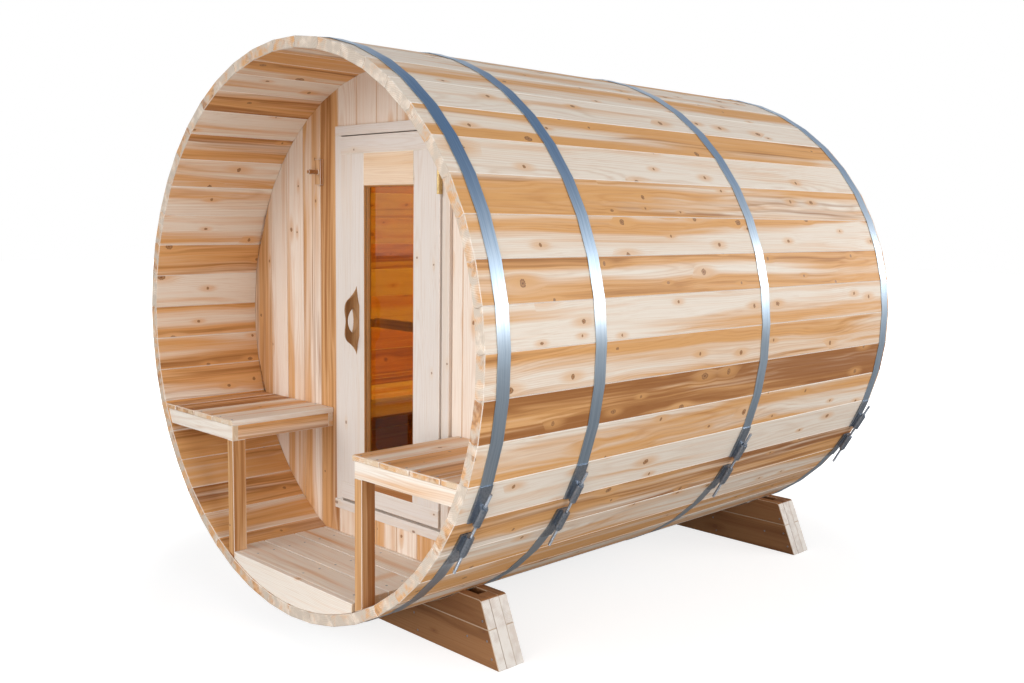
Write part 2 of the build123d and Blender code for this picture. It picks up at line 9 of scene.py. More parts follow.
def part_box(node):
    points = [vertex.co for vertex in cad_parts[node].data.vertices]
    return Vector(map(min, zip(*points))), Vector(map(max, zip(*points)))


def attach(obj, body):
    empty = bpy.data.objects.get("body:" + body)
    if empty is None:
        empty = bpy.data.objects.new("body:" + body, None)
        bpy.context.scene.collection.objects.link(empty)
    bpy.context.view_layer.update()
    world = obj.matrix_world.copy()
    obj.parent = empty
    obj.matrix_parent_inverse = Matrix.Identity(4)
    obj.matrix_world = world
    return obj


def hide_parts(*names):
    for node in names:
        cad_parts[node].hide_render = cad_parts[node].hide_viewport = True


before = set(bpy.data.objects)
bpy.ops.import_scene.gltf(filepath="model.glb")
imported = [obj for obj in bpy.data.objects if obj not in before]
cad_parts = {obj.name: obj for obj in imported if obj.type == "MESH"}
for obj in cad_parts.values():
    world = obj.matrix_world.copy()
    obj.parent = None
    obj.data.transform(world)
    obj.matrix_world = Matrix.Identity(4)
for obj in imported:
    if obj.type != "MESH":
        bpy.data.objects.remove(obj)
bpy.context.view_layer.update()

# Driving sizes in metres, read from the frame where it holds them
MM = 0.001
hoop_low, hoop_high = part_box("hoop_front")
AXIS_HEIGHT = (hoop_low[2] + hoop_high[2]) / 2
wall_low, wall_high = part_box("front_wall_left")
back_low, back_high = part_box("back_wall")
WALL_RADIUS = (back_high[2] - back_low[2]) / 2
STAVE_COUNT = 47
BROWN_STAVE = 36
# The first staves, from the bottom of the barrel up its left side, draw warmer tones: partly their own
# heartwood and partly painted warm shade low in the porch
WARM_STAVES = 11
WALL_EDGE = WALL_RADIUS - 1 * MM
WALL_BOARD_PITCH = 121 * MM
WALL_JOINT = 28 * MM
WALL_CHAMFER = 3 * MM
EASED_EDGE = 1.5 * MM
STAVE_EASE = 2 * MM
SLAT_EASE = 3 * MM
CRADLE_EASE = 2 * MM
ALONG_X, ALONG_Y, ALONG_Z = 0, 1, 2


# Node trees

def add_node(tree, kind, inputs=None, **settings):
    """A node with its settings, its plain inputs set and its linked inputs wired."""
    made = tree.nodes.new(kind)
    for key, value in settings.items():
        setattr(made, key, value)
    for key, value in (inputs or {}).items():
        if isinstance(value, bpy.types.NodeSocket):
            tree.links.new(value, made.inputs[key])
        else:
            made.inputs[key].default_value = value
    return made


def math_node(tree, operation, first, second=0.0, third=0.0):
    return add_node(tree, "ShaderNodeMath", {0: first, 1: second, 2: third}, operation=operation).outputs[0]


def times(tree, value, factor):
    return math_node(tree, "MULTIPLY", value, factor)


def times_plus(tree, value, factor, more):
    return math_node(tree, "MULTIPLY_ADD", value, factor, more)


def combine(tree, x=0.0, y=0.0, z=0.0):
    return add_node(tree, "ShaderNodeCombineXYZ", {0: x, 1: y, 2: z}).outputs[0]


def vector_node(tree, operation, first, second=(0, 0, 0)):
    made = add_node(tree, "ShaderNodeVectorMath", {0: first, 1: second}, operation=operation)
    return made.outputs["Value" if operation in ("LENGTH", "DISTANCE") else "Vector"]


def blend_colour(tree, amount, first, second, blend_type="MIX"):
    inputs = {0: amount, 6: first, 7: second}
    return add_node(tree, "ShaderNodeMix", inputs, data_type="RGBA", blend_type=blend_type).outputs[2]


def remap(tree, value, low, high, to_low=0.0, to_high=1.0):
    inputs = {0: value, 1: low, 2: high, 3: to_low, 4: to_high}
    return add_node(tree, "ShaderNodeMapRange", inputs, interpolation_type="SMOOTHSTEP").outputs[0]


def new_group(name, inputs, outputs, kind="ShaderNodeTree"):
    """An empty node group with named inputs and outputs."""
    group = bpy.data.node_groups.new(name, kind)
    for label, socket_type, *value in inputs:
        socket = group.interface.new_socket(label, in_out="INPUT", socket_type=socket_type)
        if value:
            socket.default_value = value[0]
    for label, socket_type in outputs:
        group.interface.new_socket(label, in_out="OUTPUT", socket_type=socket_type)
    entry = group.nodes.new("NodeGroupInput")
    leave = group.nodes.new("NodeGroupOutput")
    return group, entry.outputs, leave.inputs


FLOAT, COLOUR, VECTOR = "NodeSocketFloat", "NodeSocketColor", "NodeSocketVector"
GEOMETRY, INTEGER = "NodeSocketGeometry", "NodeSocketInt"
OBJECT, MATERIAL = "NodeSocketObject", "NodeSocketMaterial"


def noise(tree, place, stretch, detail=2.0):
    """Noise whose cells are stretched by their own scale on each axis."""
    inputs = {"Vector": vector_node(tree, "MULTIPLY", place, stretch), "Scale": 1.0, "Detail": detail}
    return add_node(tree, "ShaderNodeTexNoise", inputs).outputs[0]


KNOT_CELLS = (4.4, 9.0, 0.0)


def knots(tree, place, share, size):
    """Knots scattered in long cells: cores, dark outlines, warm halos and sideways push on the grain."""
    cell = vector_node(tree, "MULTIPLY", place, KNOT_CELLS)
    cells = add_node(tree, "ShaderNodeTexVoronoi", {"Vector": cell, "Scale": 1.0}, voronoi_dimensions="2D")
    away = vector_node(tree, "SUBTRACT", cell, cells.outputs["Position"])
    away = vector_node(tree, "MULTIPLY", away, (1 / KNOT_CELLS[0], 1 / KNOT_CELLS[1], 0.0))
    pick = add_node(tree, "ShaderNodeSeparateColor", {0: cells.outputs["Color"]}).outputs
    present = math_node(tree, "LESS_THAN", pick["Red"], share)
    radius = times(tree, math_node(tree, "POWER", pick["Green"], 2.0), 0.65)
    radius = times(tree, math_node(tree, "ADD", radius, 0.35), size)
    length = remap(tree, pick["Blue"], 0.0, 1.0, 0.60, 1.15)
    shaped = vector_node(tree, "MULTIPLY", away, combine(tree, length, 1.0))
    wobble = noise(tree, place, (170.0, 170.0, 170.0), 1.0)
    reach = math_node(tree, "DIVIDE", vector_node(tree, "LENGTH", shaped), radius)
    reach = math_node(tree, "ADD", reach, times_plus(tree, wobble, 0.7, -0.35))
    core = times(tree, remap(tree, reach, 1.1, 0.8), present)
    pith = times(tree, remap(tree, reach, 0.42, 0.15), present)
    outline = times(tree, remap(tree, reach, 0.60, 0.92), core)
    outline = math_node(tree, "MAXIMUM", outline, pith)
    long_away = vector_node(tree, "MULTIPLY", away, (0.30, 0.85, 0.0))
    long_reach = math_node(tree, "DIVIDE", vector_node(tree, "LENGTH", long_away), radius)
    halo = times(tree, remap(tree, long_reach, 3.0, 0.6), present)
    parts = add_node(tree, "ShaderNodeSeparateXYZ", {0: away}).outputs
    push = times(tree, parts[1], halo)
    return core, outline, halo, push


def make_wood_group():
    """Planed cedar: sapwood, heartwood, growth rings, fine grain, knots, cut ends, and eased edges in a
    colour of their own, which is a painted highlight where it is paler than the face and painted shade where
    it is darker.
    """
    inputs = [
        ("Board place", VECTOR),
        ("Board tone", FLOAT, 0.5),
        ("End grain", FLOAT, 0.0),
        ("Eased edge", FLOAT, 0.0),
        ("Sapwood", COLOUR, (0.86, 0.76, 0.65, 1)),
        ("Heartwood", COLOUR, (0.73, 0.38, 0.14, 1)),
        ("Brown heart", COLOUR, (0.34, 0.13, 0.035, 1)),
        ("Knot", COLOUR, (0.20, 0.08, 0.035, 1)),
        ("End colour", COLOUR, (0.62, 0.53, 0.44, 1)),
        # The eased edges' colour, pale by default: a painted highlight of the light that the edges catch
        ("Edge colour", COLOUR, (0.90, 0.84, 0.77, 1)),
        ("Heart share", FLOAT, 1.0),
        ("Ring strength", FLOAT, 0.30),
        ("Knot share", FLOAT, 0.5),
        ("Knot size", FLOAT, 0.013),
        ("End stain", FLOAT, 0.85),
    ]
    outputs = [("Colour", COLOUR), ("Roughness", FLOAT), ("Height", FLOAT)]
    tree, given, result = new_group("planed_cedar", inputs, outputs)
    place = given["Board place"]
    core, outline, halo, push = knots(tree, place, given["Knot share"], given["Knot size"])

    # Growth rings bend round the knots and drift along the board
    drift = noise(tree, place, (1.1, 6.0, 6.0))
    parts = add_node(tree, "ShaderNodeSeparateXYZ", {0: place}).outputs
    across = times_plus(tree, push, -0.8, parts[1])
    across = times_plus(tree, drift, 0.06, across)
    depth = times_plus(tree, parts[0], 0.012, parts[2])
    depth = times_plus(tree, drift, 0.05, depth)
    ring_place = combine(tree, parts[0], across, depth)
    ring_inputs = {
        "Vector": vector_node(tree, "MULTIPLY", ring_place, (0.12, 1.0, 1.0)),
        "Scale": 52.0,
        "Distortion": 2.0,
        "Detail": 2.0,
        "Detail Scale": 1.2,
    }
    rings = add_node(tree, "ShaderNodeTexWave", ring_inputs, wave_type="RINGS", rings_direction="X")
    late_wood = math_node(tree, "POWER", rings.outputs["Fac"], 2.4)
    fine = noise(tree, ring_place, (4.0, 330.0, 330.0), 3.0)
    streak = noise(tree, ring_place, (0.9, 75.0, 75.0), 2.0)

    # Each board is mostly sapwood or mostly heartwood, with streaks of the other along it
    band = noise(tree, ring_place, (0.40, 13.0, 13.0), 3.0)
    lean = times_plus(tree, band, 2.6, -1.3)
    lean = math_node(tree, "ADD", lean, given["Board tone"])
    heart = times(tree, remap(tree, lean, 0.22, 0.86), given["Heart share"])
    heart = times_plus(tree, math_node(tree, "SUBTRACT", streak, 0.5), 0.75, heart)
    heart = add_node(tree, "ShaderNodeClamp", {0: heart}).outputs[0]
    face = blend_colour(tree, heart, given["Sapwood"], given["Heartwood"])
    brown_band = noise(tree, ring_place, (0.55, 17.0, 17.0), 2.0)
    brown_lean = times_plus(tree, given["Board tone"], 0.9, brown_band)
    brown_lean = times_plus(tree, math_node(tree, "SUBTRACT", streak, 0.5), 0.7, brown_lean)
    brown = remap(tree, brown_lean, 1.12, 1.52, 0.0, 0.95)
    face = blend_colour(tree, brown, face, given["Brown heart"])

    # Late wood and fine grain darken the face in patches, and knots have warm surroundings
    patch = remap(tree, noise(tree, place, (1.3, 8.0, 8.0), 1.0), 0.35, 0.65, 0.25, 1.0)
    darker = blend_colour(tree, 1.0, face, (0.70, 0.50, 0.34, 1), "MULTIPLY")
    shade = times(tree, times(tree, late_wood, given["Ring strength"]), patch)
    face = blend_colour(tree, shade, face, darker)
    face = blend_colour(tree, remap(tree, fine, 0.50, 0.74, 0.0, 0.28), face, darker)
    face = blend_colour(tree, times(tree, halo, 0.55), face, given["Heartwood"])
    knot_heart = blend_colour(tree, 0.4, given["Knot"], given["Heartwood"])
    face = blend_colour(tree, times(tree, core, 0.9), face, knot_heart)
    face = blend_colour(tree, times(tree, outline, 0.9), face, given["Knot"])
    # Eased edges take their own colour: a painted highlight where it is paler than the face, painted shade
    # where it is darker
    face = blend_colour(tree, times(tree, given["Eased edge"], 0.7), face, given["Edge colour"])

    # Cut ends are duller and blotched, with faint arcs of rings and saw marks
    stained = times_plus(tree, given["Board tone"], 0.16, noise(tree, place, (9.0, 26.0, 26.0), 3.0))
    blotch = times(tree, remap(tree, stained, 0.46, 0.72), given["End stain"])
    end_face = blend_colour(tree, blotch, given["End colour"], face)
    saw = noise(tree, place, (120.0, 900.0, 60.0), 1.0)
    end_dark = blend_colour(tree, 1.0, end_face, (0.68, 0.54, 0.42, 1), "MULTIPLY")
    end_shade = times_plus(tree, late_wood, 0.25, remap(tree, saw, 0.5, 0.8, 0.0, 0.25))
    end_face = blend_colour(tree, end_shade, end_face, end_dark)
    tree.links.new(blend_colour(tree, given["End grain"], face, end_face), result["Colour"])
    roughness = times_plus(tree, fine, 0.20, 0.46)
    tree.links.new(times_plus(tree, core, -0.12, roughness), result["Roughness"])
    height = times_plus(tree, late_wood, 0.4, fine)
    tree.links.new(times_plus(tree, core, -0.8, height), result["Height"])
    return tree


def make_metal_group():
    """Metal with fine lines drawn along it, dull patches and handling marks."""
    inputs = [
        ("Place", VECTOR),
        ("Bright", COLOUR, (0.45, 0.55, 0.68, 1)),
        ("Dull", COLOUR, (0.30, 0.38, 0.48, 1)),
        ("Line stretch", VECTOR, (3.0, 420.0, 3.0)),
        ("Patch scale", FLOAT, 4.0),
        ("Base roughness", FLOAT, 0.28),
    ]
    outputs = [("Colour", COLOUR), ("Roughness", FLOAT), ("Height", FLOAT)]
    tree, given, result = new_group("drawn_metal", inputs, outputs)
    lines = noise(tree, given["Place"], given["Line stretch"], 3.0)
    patch_inputs = {"Vector": given["Place"], "Scale": given["Patch scale"], "Detail": 3.0}
    patch = add_node(tree, "ShaderNodeTexNoise", patch_inputs).outputs[0]
    dull_lines = remap(tree, lines, 0.35, 0.70, 0.0, 0.6)
    dull = math_node(tree, "ADD", dull_lines, remap(tree, patch, 0.40, 0.68, 0.0, 0.4))
    tree.links.new(blend_colour(tree, dull, given["Bright"], given["Dull"]), result["Colour"])
    rough = times_plus(tree, remap(tree, patch, 0.4, 0.7), 0.12, given["Base roughness"])
    tree.links.new(times_plus(tree, lines, 0.14, rough), result["Roughness"])
    tree.links.new(lines, result["Height"])
    return tree


WOOD_GROUP = make_wood_group()
METAL_GROUP = make_metal_group()


def blank_material(name):
    material = bpy.data.materials.new(name)
    material.use_nodes = True
    tree = material.node_tree
    tree.nodes.clear()
    surface = tree.nodes.new("ShaderNodeBsdfPrincipled")
    output = tree.nodes.new("ShaderNodeOutputMaterial")
    tree.links.new(surface.outputs[0], output.inputs["Surface"])
    return material, tree, surface


def connect_group(tree, surface, group, bump_strength, bump_distance):
    tree.links.new(group.outputs["Colour"], surface.inputs["Base Color"])
    tree.links.new(group.outputs["Roughness"], surface.inputs["Roughness"])
    bump = add_node(tree, "ShaderNodeBump", {"Height": group.outputs["Height"]})
    bump.inputs["Strength"].default_value = bump_strength
    bump.inputs["Distance"].default_value = bump_distance
    tree.links.new(bump.outputs["Normal"], surface.inputs["Normal"])


def wood_material(name, **finish):
    """A cedar finish that reads each board's own place, tone and cut ends."""
    material, tree, surface = blank_material(name)

    def read(attribute, output="Fac"):
        return add_node(tree, "ShaderNodeAttribute", attribute_name=attribute).outputs[output]

    inputs = {
        "Board place": vector_node(tree, "ADD", read("board_place", "Vector"), read("board_shift", "Vector")),
        "Board tone": read("board_tone"),
        "End grain": read("end_grain"),
        "Eased edge": read("eased_edge"),
    }
    group = add_node(tree, "ShaderNodeGroup", inputs, node_tree=WOOD_GROUP)
    for label, value in finish.items():
        socket = group.inputs[label.replace("_", " ").capitalize()]
        socket.default_value = (*value, 1) if isinstance(value, tuple) else value
    connect_group(tree, surface, group, 0.22, 0.3 * MM)
    surface.inputs["Specular IOR Level"].default_value = 0.30
    return material


def metal_material(name, bright, dull, roughness, line_stretch, patch_scale=4.0):
    """A metal that reads its place on the object."""
    material, tree, surface = blank_material(name)
    inputs = {
        "Place": add_node(tree, "ShaderNodeTexCoord").outputs["Object"],
        "Bright": (*bright, 1),
        "Dull": (*dull, 1),
        "Line stretch": line_stretch,
        "Patch scale": patch_scale,
        "Base roughness": roughness,
    }
    group = add_node(tree, "ShaderNodeGroup", inputs, node_tree=METAL_GROUP)
    connect_group(tree, surface, group, 0.10, 0.1 * MM)
    surface.inputs["Metallic"].default_value = 1.0
    return material


# The staves' eased edges keep the pale default colour: a painted highlight along their joints
STAVE_CEDAR = wood_material("stave_cedar", knot_share=0.60)
WALL_CEDAR = wood_material(
    "wall_cedar",
    sapwood=(0.87, 0.76, 0.66),
    heartwood=(0.66, 0.36, 0.15),
    # Its chamfered joints are coloured darker than its faces: painted shade in the grooves between the boards
    edge_colour=(0.60, 0.38, 0.22),
    knot_share=0.35,
)
FRAME_CEDAR = wood_material(
    "door_frame_cedar",
    sapwood=(0.76, 0.70, 0.65),
    heartwood=(0.72, 0.58, 0.45),
    heart_share=0.5,
    ring_strength=0.16,
    knot_share=0.45,
    knot_size=0.008,
)
INFILL_CEDAR = wood_material(
    "door_infill_cedar",
    sapwood=(0.84, 0.66, 0.49),
    heartwood=(0.76, 0.50, 0.28),
    knot_share=0.2,
    knot_size=0.005,
)
BENCH_CEDAR = wood_material(
    "bench_cedar",
    sapwood=(0.87, 0.79, 0.70),
    end_colour=(0.72, 0.55, 0.38),
    knot_share=0.40,
    knot_size=0.008,
)
LEG_CEDAR = wood_material(
    "leg_cedar",
    sapwood=(0.80, 0.60, 0.42),
    heartwood=(0.66, 0.37, 0.16),
    knot_share=0.6,
    knot_size=0.009,
)
CRADLE_CEDAR_AND_SHADE = wood_material(
    "cradle_cedar",
    # The cradles' faces are dark brown, partly the wood's own colour and partly painted shade under the
    # barrel; their much paler eased edges are a painted highlight
    sapwood=(0.32, 0.155, 0.065),
    heartwood=(0.19, 0.078, 0.028),
    end_colour=(0.78, 0.74, 0.69),
    end_stain=0.22,
    edge_colour=(0.62, 0.50, 0.38),
    ring_strength=0.35,
    knot_share=0.4,
    knot_size=0.010,
)
HANDLE_WOOD = wood_material(
    "carved_handle_wood",
    sapwood=(0.42, 0.23, 0.10),
    heartwood=(0.28, 0.13, 0.045),
    end_colour=(0.34, 0.17, 0.07),
    # Its eased edges are a little paler than its faces, a small painted highlight
    edge_colour=(0.44, 0.25, 0.12),
    knot_share=0.0,
)
BEAD_WOOD_AND_SHADE = wood_material(
    "glazing_bead_wood_and_shade",
    # The beads' deep orange-brown is partly the wood's own colour and partly painted shade in the reveal
    # round the glass
    sapwood=(0.62, 0.34, 0.14),
    heartwood=(0.48, 0.23, 0.08),
    end_colour=(0.40, 0.20, 0.08),
    edge_colour=(0.60, 0.34, 0.15),
    knot_share=0.0,
)
ROUND_THE_BARREL = (3.0, 260.0, 3.0)
ALL_WAYS = (160.0, 160.0, 160.0)
# The hoops' bright and dull colours are bluish: partly the grey of galvanised steel and partly a painted
# reflection of blue sky
HOOP_STEEL_SKY_TINTED = metal_material(
    "galvanised_hoop_sky_tinted", (0.56, 0.65, 0.74), (0.34, 0.44, 0.55), 0.24, ROUND_THE_BARREL
)
TENSIONER_STEEL = metal_material(
    "zinc_plated_steel", (0.40, 0.44, 0.50), (0.22, 0.26, 0.31), 0.32, ALL_WAYS, 30.0
)
ROD_STEEL = metal_material("threaded_steel", (0.46, 0.49, 0.54), (0.26, 0.29, 0.33), 0.30, ALL_WAYS, 60.0)
BRASS = metal_material("satin_brass", (0.74, 0.56, 0.28), (0.50, 0.35, 0.15), 0.30, ALL_WAYS, 20.0)


def tinted_glass():
    """Bronze glass for the door, with faint smears in its roughness."""
    material, tree, surface = blank_material("bronze_glass")
    place = add_node(tree, "ShaderNodeTexCoord").outputs["Object"]
    smear = add_node(tree, "ShaderNodeTexNoise", {"Vector": place, "Scale": 7.0, "Detail": 3.0}).outputs[0]
    tree.links.new(remap(tree, smear, 0.45, 0.8, 0.01, 0.05), surface.inputs["Roughness"])
    surface.inputs["Base Color"].default_value = (0.46, 0.27, 0.020, 1)
    surface.inputs["Transmission Weight"].default_value = 1.0
    surface.inputs["IOR"].default_value = 1.45
    return material


BRONZE_GLASS = tinted_glass()


# Wooden pieces

def solid_copy(node):
    """A node's solid in a bmesh, with doubles merged and flat faces joined."""
    shape = bmesh.new()
    shape.from_mesh(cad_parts[node].data)
    bmesh.ops.remove_doubles(shape, verts=shape.verts, dist=1e-5)
    bmesh.ops.dissolve_limit(shape, angle_limit=math.radians(1), verts=shape.verts, edges=shape.edges)
    return shape


def keep_inside(shape, low, high):
    """Cuts a closed shape to a box, where None leaves a side alone, and closes it again at the cuts."""
    for axis in range(3):
        for limit, outward in ((low[axis], -1), (high[axis], 1)):
            if limit is None:
                continue
            point, normal = Vector(), Vector()
            point[axis], normal[axis] = limit, outward
            everything = shape.verts[:] + shape.edges[:] + shape.faces[:]
            cut = bmesh.ops.bisect_plane(
                shape, geom=everything, plane_co=point, plane_no=normal, clear_outer=True
            )
            rim = [part for part in cut["geom_cut"] if isinstance(part, bmesh.types.BMEdge)]
            bmesh.ops.holes_fill(shape, edges=rim, sides=0)


def ease_edges(shape, ease):
    """Takes the sharp edges off a shape, and marks the small new faces with material index 1."""
    corner = math.radians(35)
    sharp = [e for e in shape.edges if len(e.link_faces) == 2 and e.calc_face_angle() > corner]
    made = bmesh.ops.bevel(shape, geom=sharp, offset=ease, segments=1, affect="EDGES", clamp_overlap=True)
    for face in made["faces"]:
        face.material_index = 1


def islands(shape):
    """The separate boards of a bmesh, as lists of vertices."""
    left = set(shape.verts)
    while left:
        start = left.pop()
        found, queue = [start], [start]
        while queue:
            for edge in queue.pop().link_edges:
                for vert in edge.verts:
                    if vert in left:
                        left.remove(vert)
                        found.append(vert)
                        queue.append(vert)
        yield found


# The order of x, y and z that puts the grain first, then the width of the face, then its depth
GRAIN_ORDER = {ALONG_X: (0, 2, 1), ALONG_Y: (1, 0, 2), ALONG_Z: (2, 0, 1)}
# The furthest that a board's grain is shifted by chance, along it, across it and in depth
GRAIN_SHIFT = (6, 0.09, 0.10)


def write_grain(shape, kinds, seed):
    """Gives every board its own place in the grain, its tone, its cut ends and its eased edges.

    kinds holds, for every vertex, the axis of the grain and the range that the board's tone is drawn from.
    """
    draw = random.Random(seed)
    place_layer = shape.verts.layers.float_vector.new("board_place")
    tone_layer = shape.verts.layers.float.new("board_tone")
    end_layer = shape.faces.layers.float.new("end_grain")
    eased_layer = shape.faces.layers.float.new("eased_edge")
    shape.verts.index_update()
    boards = sorted(islands(shape), key=lambda verts: min(vert.index for vert in verts))
    for board in boards:
        direction, tones = kinds[board[0].index]
        middle = sum((vert.co for vert in board), Vector()) / len(board)
        tone = draw.uniform(*tones)
        shift = Vector([draw.uniform(-most, most) for most in GRAIN_SHIFT])
        for vert in board:
            local = vert.co - middle
            vert[place_layer] = Vector([local[i] for i in GRAIN_ORDER[direction]]) + shift
            vert[tone_layer] = tone
            for face in vert.link_faces:
                face[end_layer] = 1.0 if abs(face.normal[direction]) > 0.7 else 0.0
    for face in shape.faces:
        face[eased_layer] = float(face.material_index)
        face.material_index = 0


def object_from(shape, name, material):
    mesh = bpy.data.meshes.new(name)
    shape.to_mesh(mesh)
    shape.free()
    mesh.materials.append(material)
    piece = bpy.data.objects.new(name, mesh)
    bpy.context.scene.collection.objects.link(piece)
    return piece


def dress(piece, slot, *replaced, body="root"):
    """Sets a piece on its body, in place of the CAD nodes that it redraws. slot: not used."""
    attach(piece, body)
    if replaced:
        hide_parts(*replaced)


def join_into(shape, part):
    """Adds a finished part to a bmesh as a separate island."""
    scratch = bpy.data.meshes.new("scratch")
    part.to_mesh(scratch)
    part.free()
    shape.from_mesh(scratch)
    bpy.data.meshes.remove(scratch)


def bridge(shape, lower, upper):
    """Faces between two loops with the same number of vertices."""
    for i in range(len(lower)):
        j = (i + 1) % len(lower)
        shape.faces.new((lower[i], lower[j], upper[j], upper[i]))


def smooth_faces(shape, corner):
    """Rounds the light over a shape, apart from edges sharper than a corner in degrees."""
    for face in shape.faces:
        face.smooth = True
    for edge in shape.edges:
        edge.smooth = len(edge.link_faces) == 2 and edge.calc_face_angle() < math.radians(corner)


# A cut at None leaves that side of a board alone
ANYWHERE = (None, None, None)


def whole(direction, tones=(0.0, 1.0)):
    """One board with its grain along an axis, not cut any further."""
    return [((direction, tones), ANYWHERE, ANYWHERE)]


def wooden(name, nodes, boards, material, slot, body="root", ease=EASED_EDGE):
    """Replaces CAD nodes by separate boards with eased edges and their own grain."""
    shape = bmesh.new()
    kinds = []
    for node in nodes:
        for kind, low, high in boards:
            board = solid_copy(node)
            keep_inside(board, low, high)
            ease_edges(board, ease)
            bmesh.ops.recalc_face_normals(board, faces=board.faces)
            join_into(shape, board)
            kinds += [kind] * (len(shape.verts) - len(kinds))
    write_grain(shape, kinds, name)
    dress(object_from(shape, name, material), slot, *nodes, body=body)


def span_boards(kind, axis, edges, gap=0.0):
    """Boards side by side between neighbouring edges on one axis, with a gap at each joint."""
    boards = []
    for i, (start, end) in enumerate(zip(edges, edges[1:])):
        low, high = list(ANYWHERE), list(ANYWHERE)
        if i > 0:
            low[axis] = start + gap / 2
        if i < len(edges) - 2:
            high[axis] = end - gap / 2
        boards.append((kind, low, high))
    return boards


# Ranges of board tone, from sapwood below 0 to heartwood at 1
PALE, MIXED, WARM = (-0.3, 0.1), (0.2, 0.7), (0.6, 1.0)
PORCH_FLOOR_TONES = (-0.15, 0.25)
# The seat slats draw warm tones, partly their own heartwood and partly painted shade that the seats sit in
# under the porch roof
SLAT_TONES = (0.35, 1.0)
STILE_TONES = (0.0, 0.4)
RAIL_TONES = (0.0, 0.5)
APRON = 22 * MM


def porch_apron_boards(low, high, side):
    """The front apron, the side apron and the cleat on the wall, cut apart at their corners."""
    front, back = low[1] + APRON, high[1] - APRON
    side_low, side_high = (None, front, None), (None, back, None)
    if side < 0:
        side_low = (high[0] - APRON, front, None)
    else:
        side_high = (low[0] + APRON, back, None)
    # The side apron draws warm tones, partly its heartwood and partly painted shade on the face turned across
    # the porch; the front apron draws pale tones
    return [
        ((ALONG_X, PALE), ANYWHERE, (None, front, None)),
        ((ALONG_Y, WARM), side_low, side_high),
        ((ALONG_X, MIXED), (None, back, None), ANYWHERE),
    ]


def room_apron_boards(low, high, side):
    """The long front board and the bearers behind it."""
    if side < 0:
        joint = (high[0] - APRON, None, None)
        return [((ALONG_Y, MIXED), joint, ANYWHERE), ((ALONG_X, MIXED), ANYWHERE, joint)]
    joint = (low[0] + APRON, None, None)
    return [((ALONG_Y, MIXED), ANYWHERE, joint), ((ALONG_X, MIXED), joint, ANYWHERE)]


PORCH_FLOOR_JOINTS = (162 * MM, 299 * MM, 436 * MM)
PORCH_FLOOR_GAP = 3 * MM
ROOM_FLOOR_PITCH = 134 * MM
ROOM_FLOOR_GAP = 1 * MM
CRADLE_JOINT = AXIS_HEIGHT - 943 * MM
porch_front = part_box("staves_a")[0][1]
floor_low, floor_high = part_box("porch_floor")
floor_edges = [floor_low[1], *(porch_front + joint for joint in PORCH_FLOOR_JOINTS), floor_high[1]]
room_edges = [i * ROOM_FLOOR_PITCH for i in range(-4, 5)]

jambs = ["door_jamb_left", "door_jamb_right"]
wooden("door_jambs", jambs, whole(ALONG_Z, MIXED), FRAME_CEDAR, "cedar_pale")
wooden("door_head_and_sill", ["door_head", "door_sill"], whole(ALONG_X, PALE), FRAME_CEDAR, "cedar_pale")
porch_boards = span_boards((ALONG_X, PORCH_FLOOR_TONES), 1, floor_edges, PORCH_FLOOR_GAP)
wooden("porch_floor_boards", ["porch_floor"], porch_boards, BENCH_CEDAR, "cedar_bench")
wooden("porch_fascia", ["floor_fascia"], whole(ALONG_X, PALE), BENCH_CEDAR, "cedar_bench")
room_boards = span_boards((ALONG_Y, (0.0, 1.0)), 0, room_edges, ROOM_FLOOR_GAP)
wooden("room_floor_boards", ["room_floor"], room_boards, BENCH_CEDAR, "cedar_bench")
for side, sign in (("left", -1), ("right", 1)):
    for place, apron_boards in (("porch", porch_apron_boards), ("room", room_apron_boards)):
        bench = f"{place}_bench_{side}"
        aprons = apron_boards(*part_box(f"{bench}_frame"), sign)
        slats = whole(ALONG_Y, SLAT_TONES)
        wooden(f"{bench}_slats", [f"{bench}_seat"], slats, BENCH_CEDAR, "cedar_bench", ease=SLAT_EASE)
        wooden(f"{bench}_aprons", [f"{bench}_frame"], aprons, BENCH_CEDAR, "cedar_bench")
    post = f"porch_bench_{side}_leg"
    wooden(f"{post}_post", [post], whole(ALONG_Z, WARM), LEG_CEDAR, "cedar_bench")
wooden("hook_board", ["towel_hook"], whole(ALONG_Z, WARM), LEG_CEDAR, "cedar_bench")
for end in ("front", "back"):
    plates = [f"cradle_{end}_plates"]
    blocks = [f"cradle_{end}_blocks"]
    plate_boards = span_boards((ALONG_X, MIXED), 2, [0, CRADLE_JOINT, AXIS_HEIGHT])
    wooden(f"cradle_{end}_sides", plates, plate_boards, CRADLE_CEDAR_AND_SHADE, "cradle_wood", ease=CRADLE_EASE)
    wooden(f"cradle_{end}_ends", blocks, whole(ALONG_X), CRADLE_CEDAR_AND_SHADE, "cradle_wood", ease=CRADLE_EASE)
stiles = ["door_stile_left", "door_stile_right"]
wooden("door_stiles", stiles, whole(ALONG_Z, STILE_TONES), FRAME_CEDAR, "cedar_pale", "door")
rails = ["door_top_rail", "door_bottom_rail"]
wooden("door_rails", rails, whole(ALONG_X, RAIL_TONES), FRAME_CEDAR, "cedar_pale", "door")
wooden("door_infills", ["door_infill_rails"], whole(ALONG_X), INFILL_CEDAR, "cedar_warm", "door")
wooden("door_bar", ["door_inside_bar"], whole(ALONG_X), INFILL_CEDAR, "cedar_pale", "door")


# Staves: one eased stave, set round the barrel

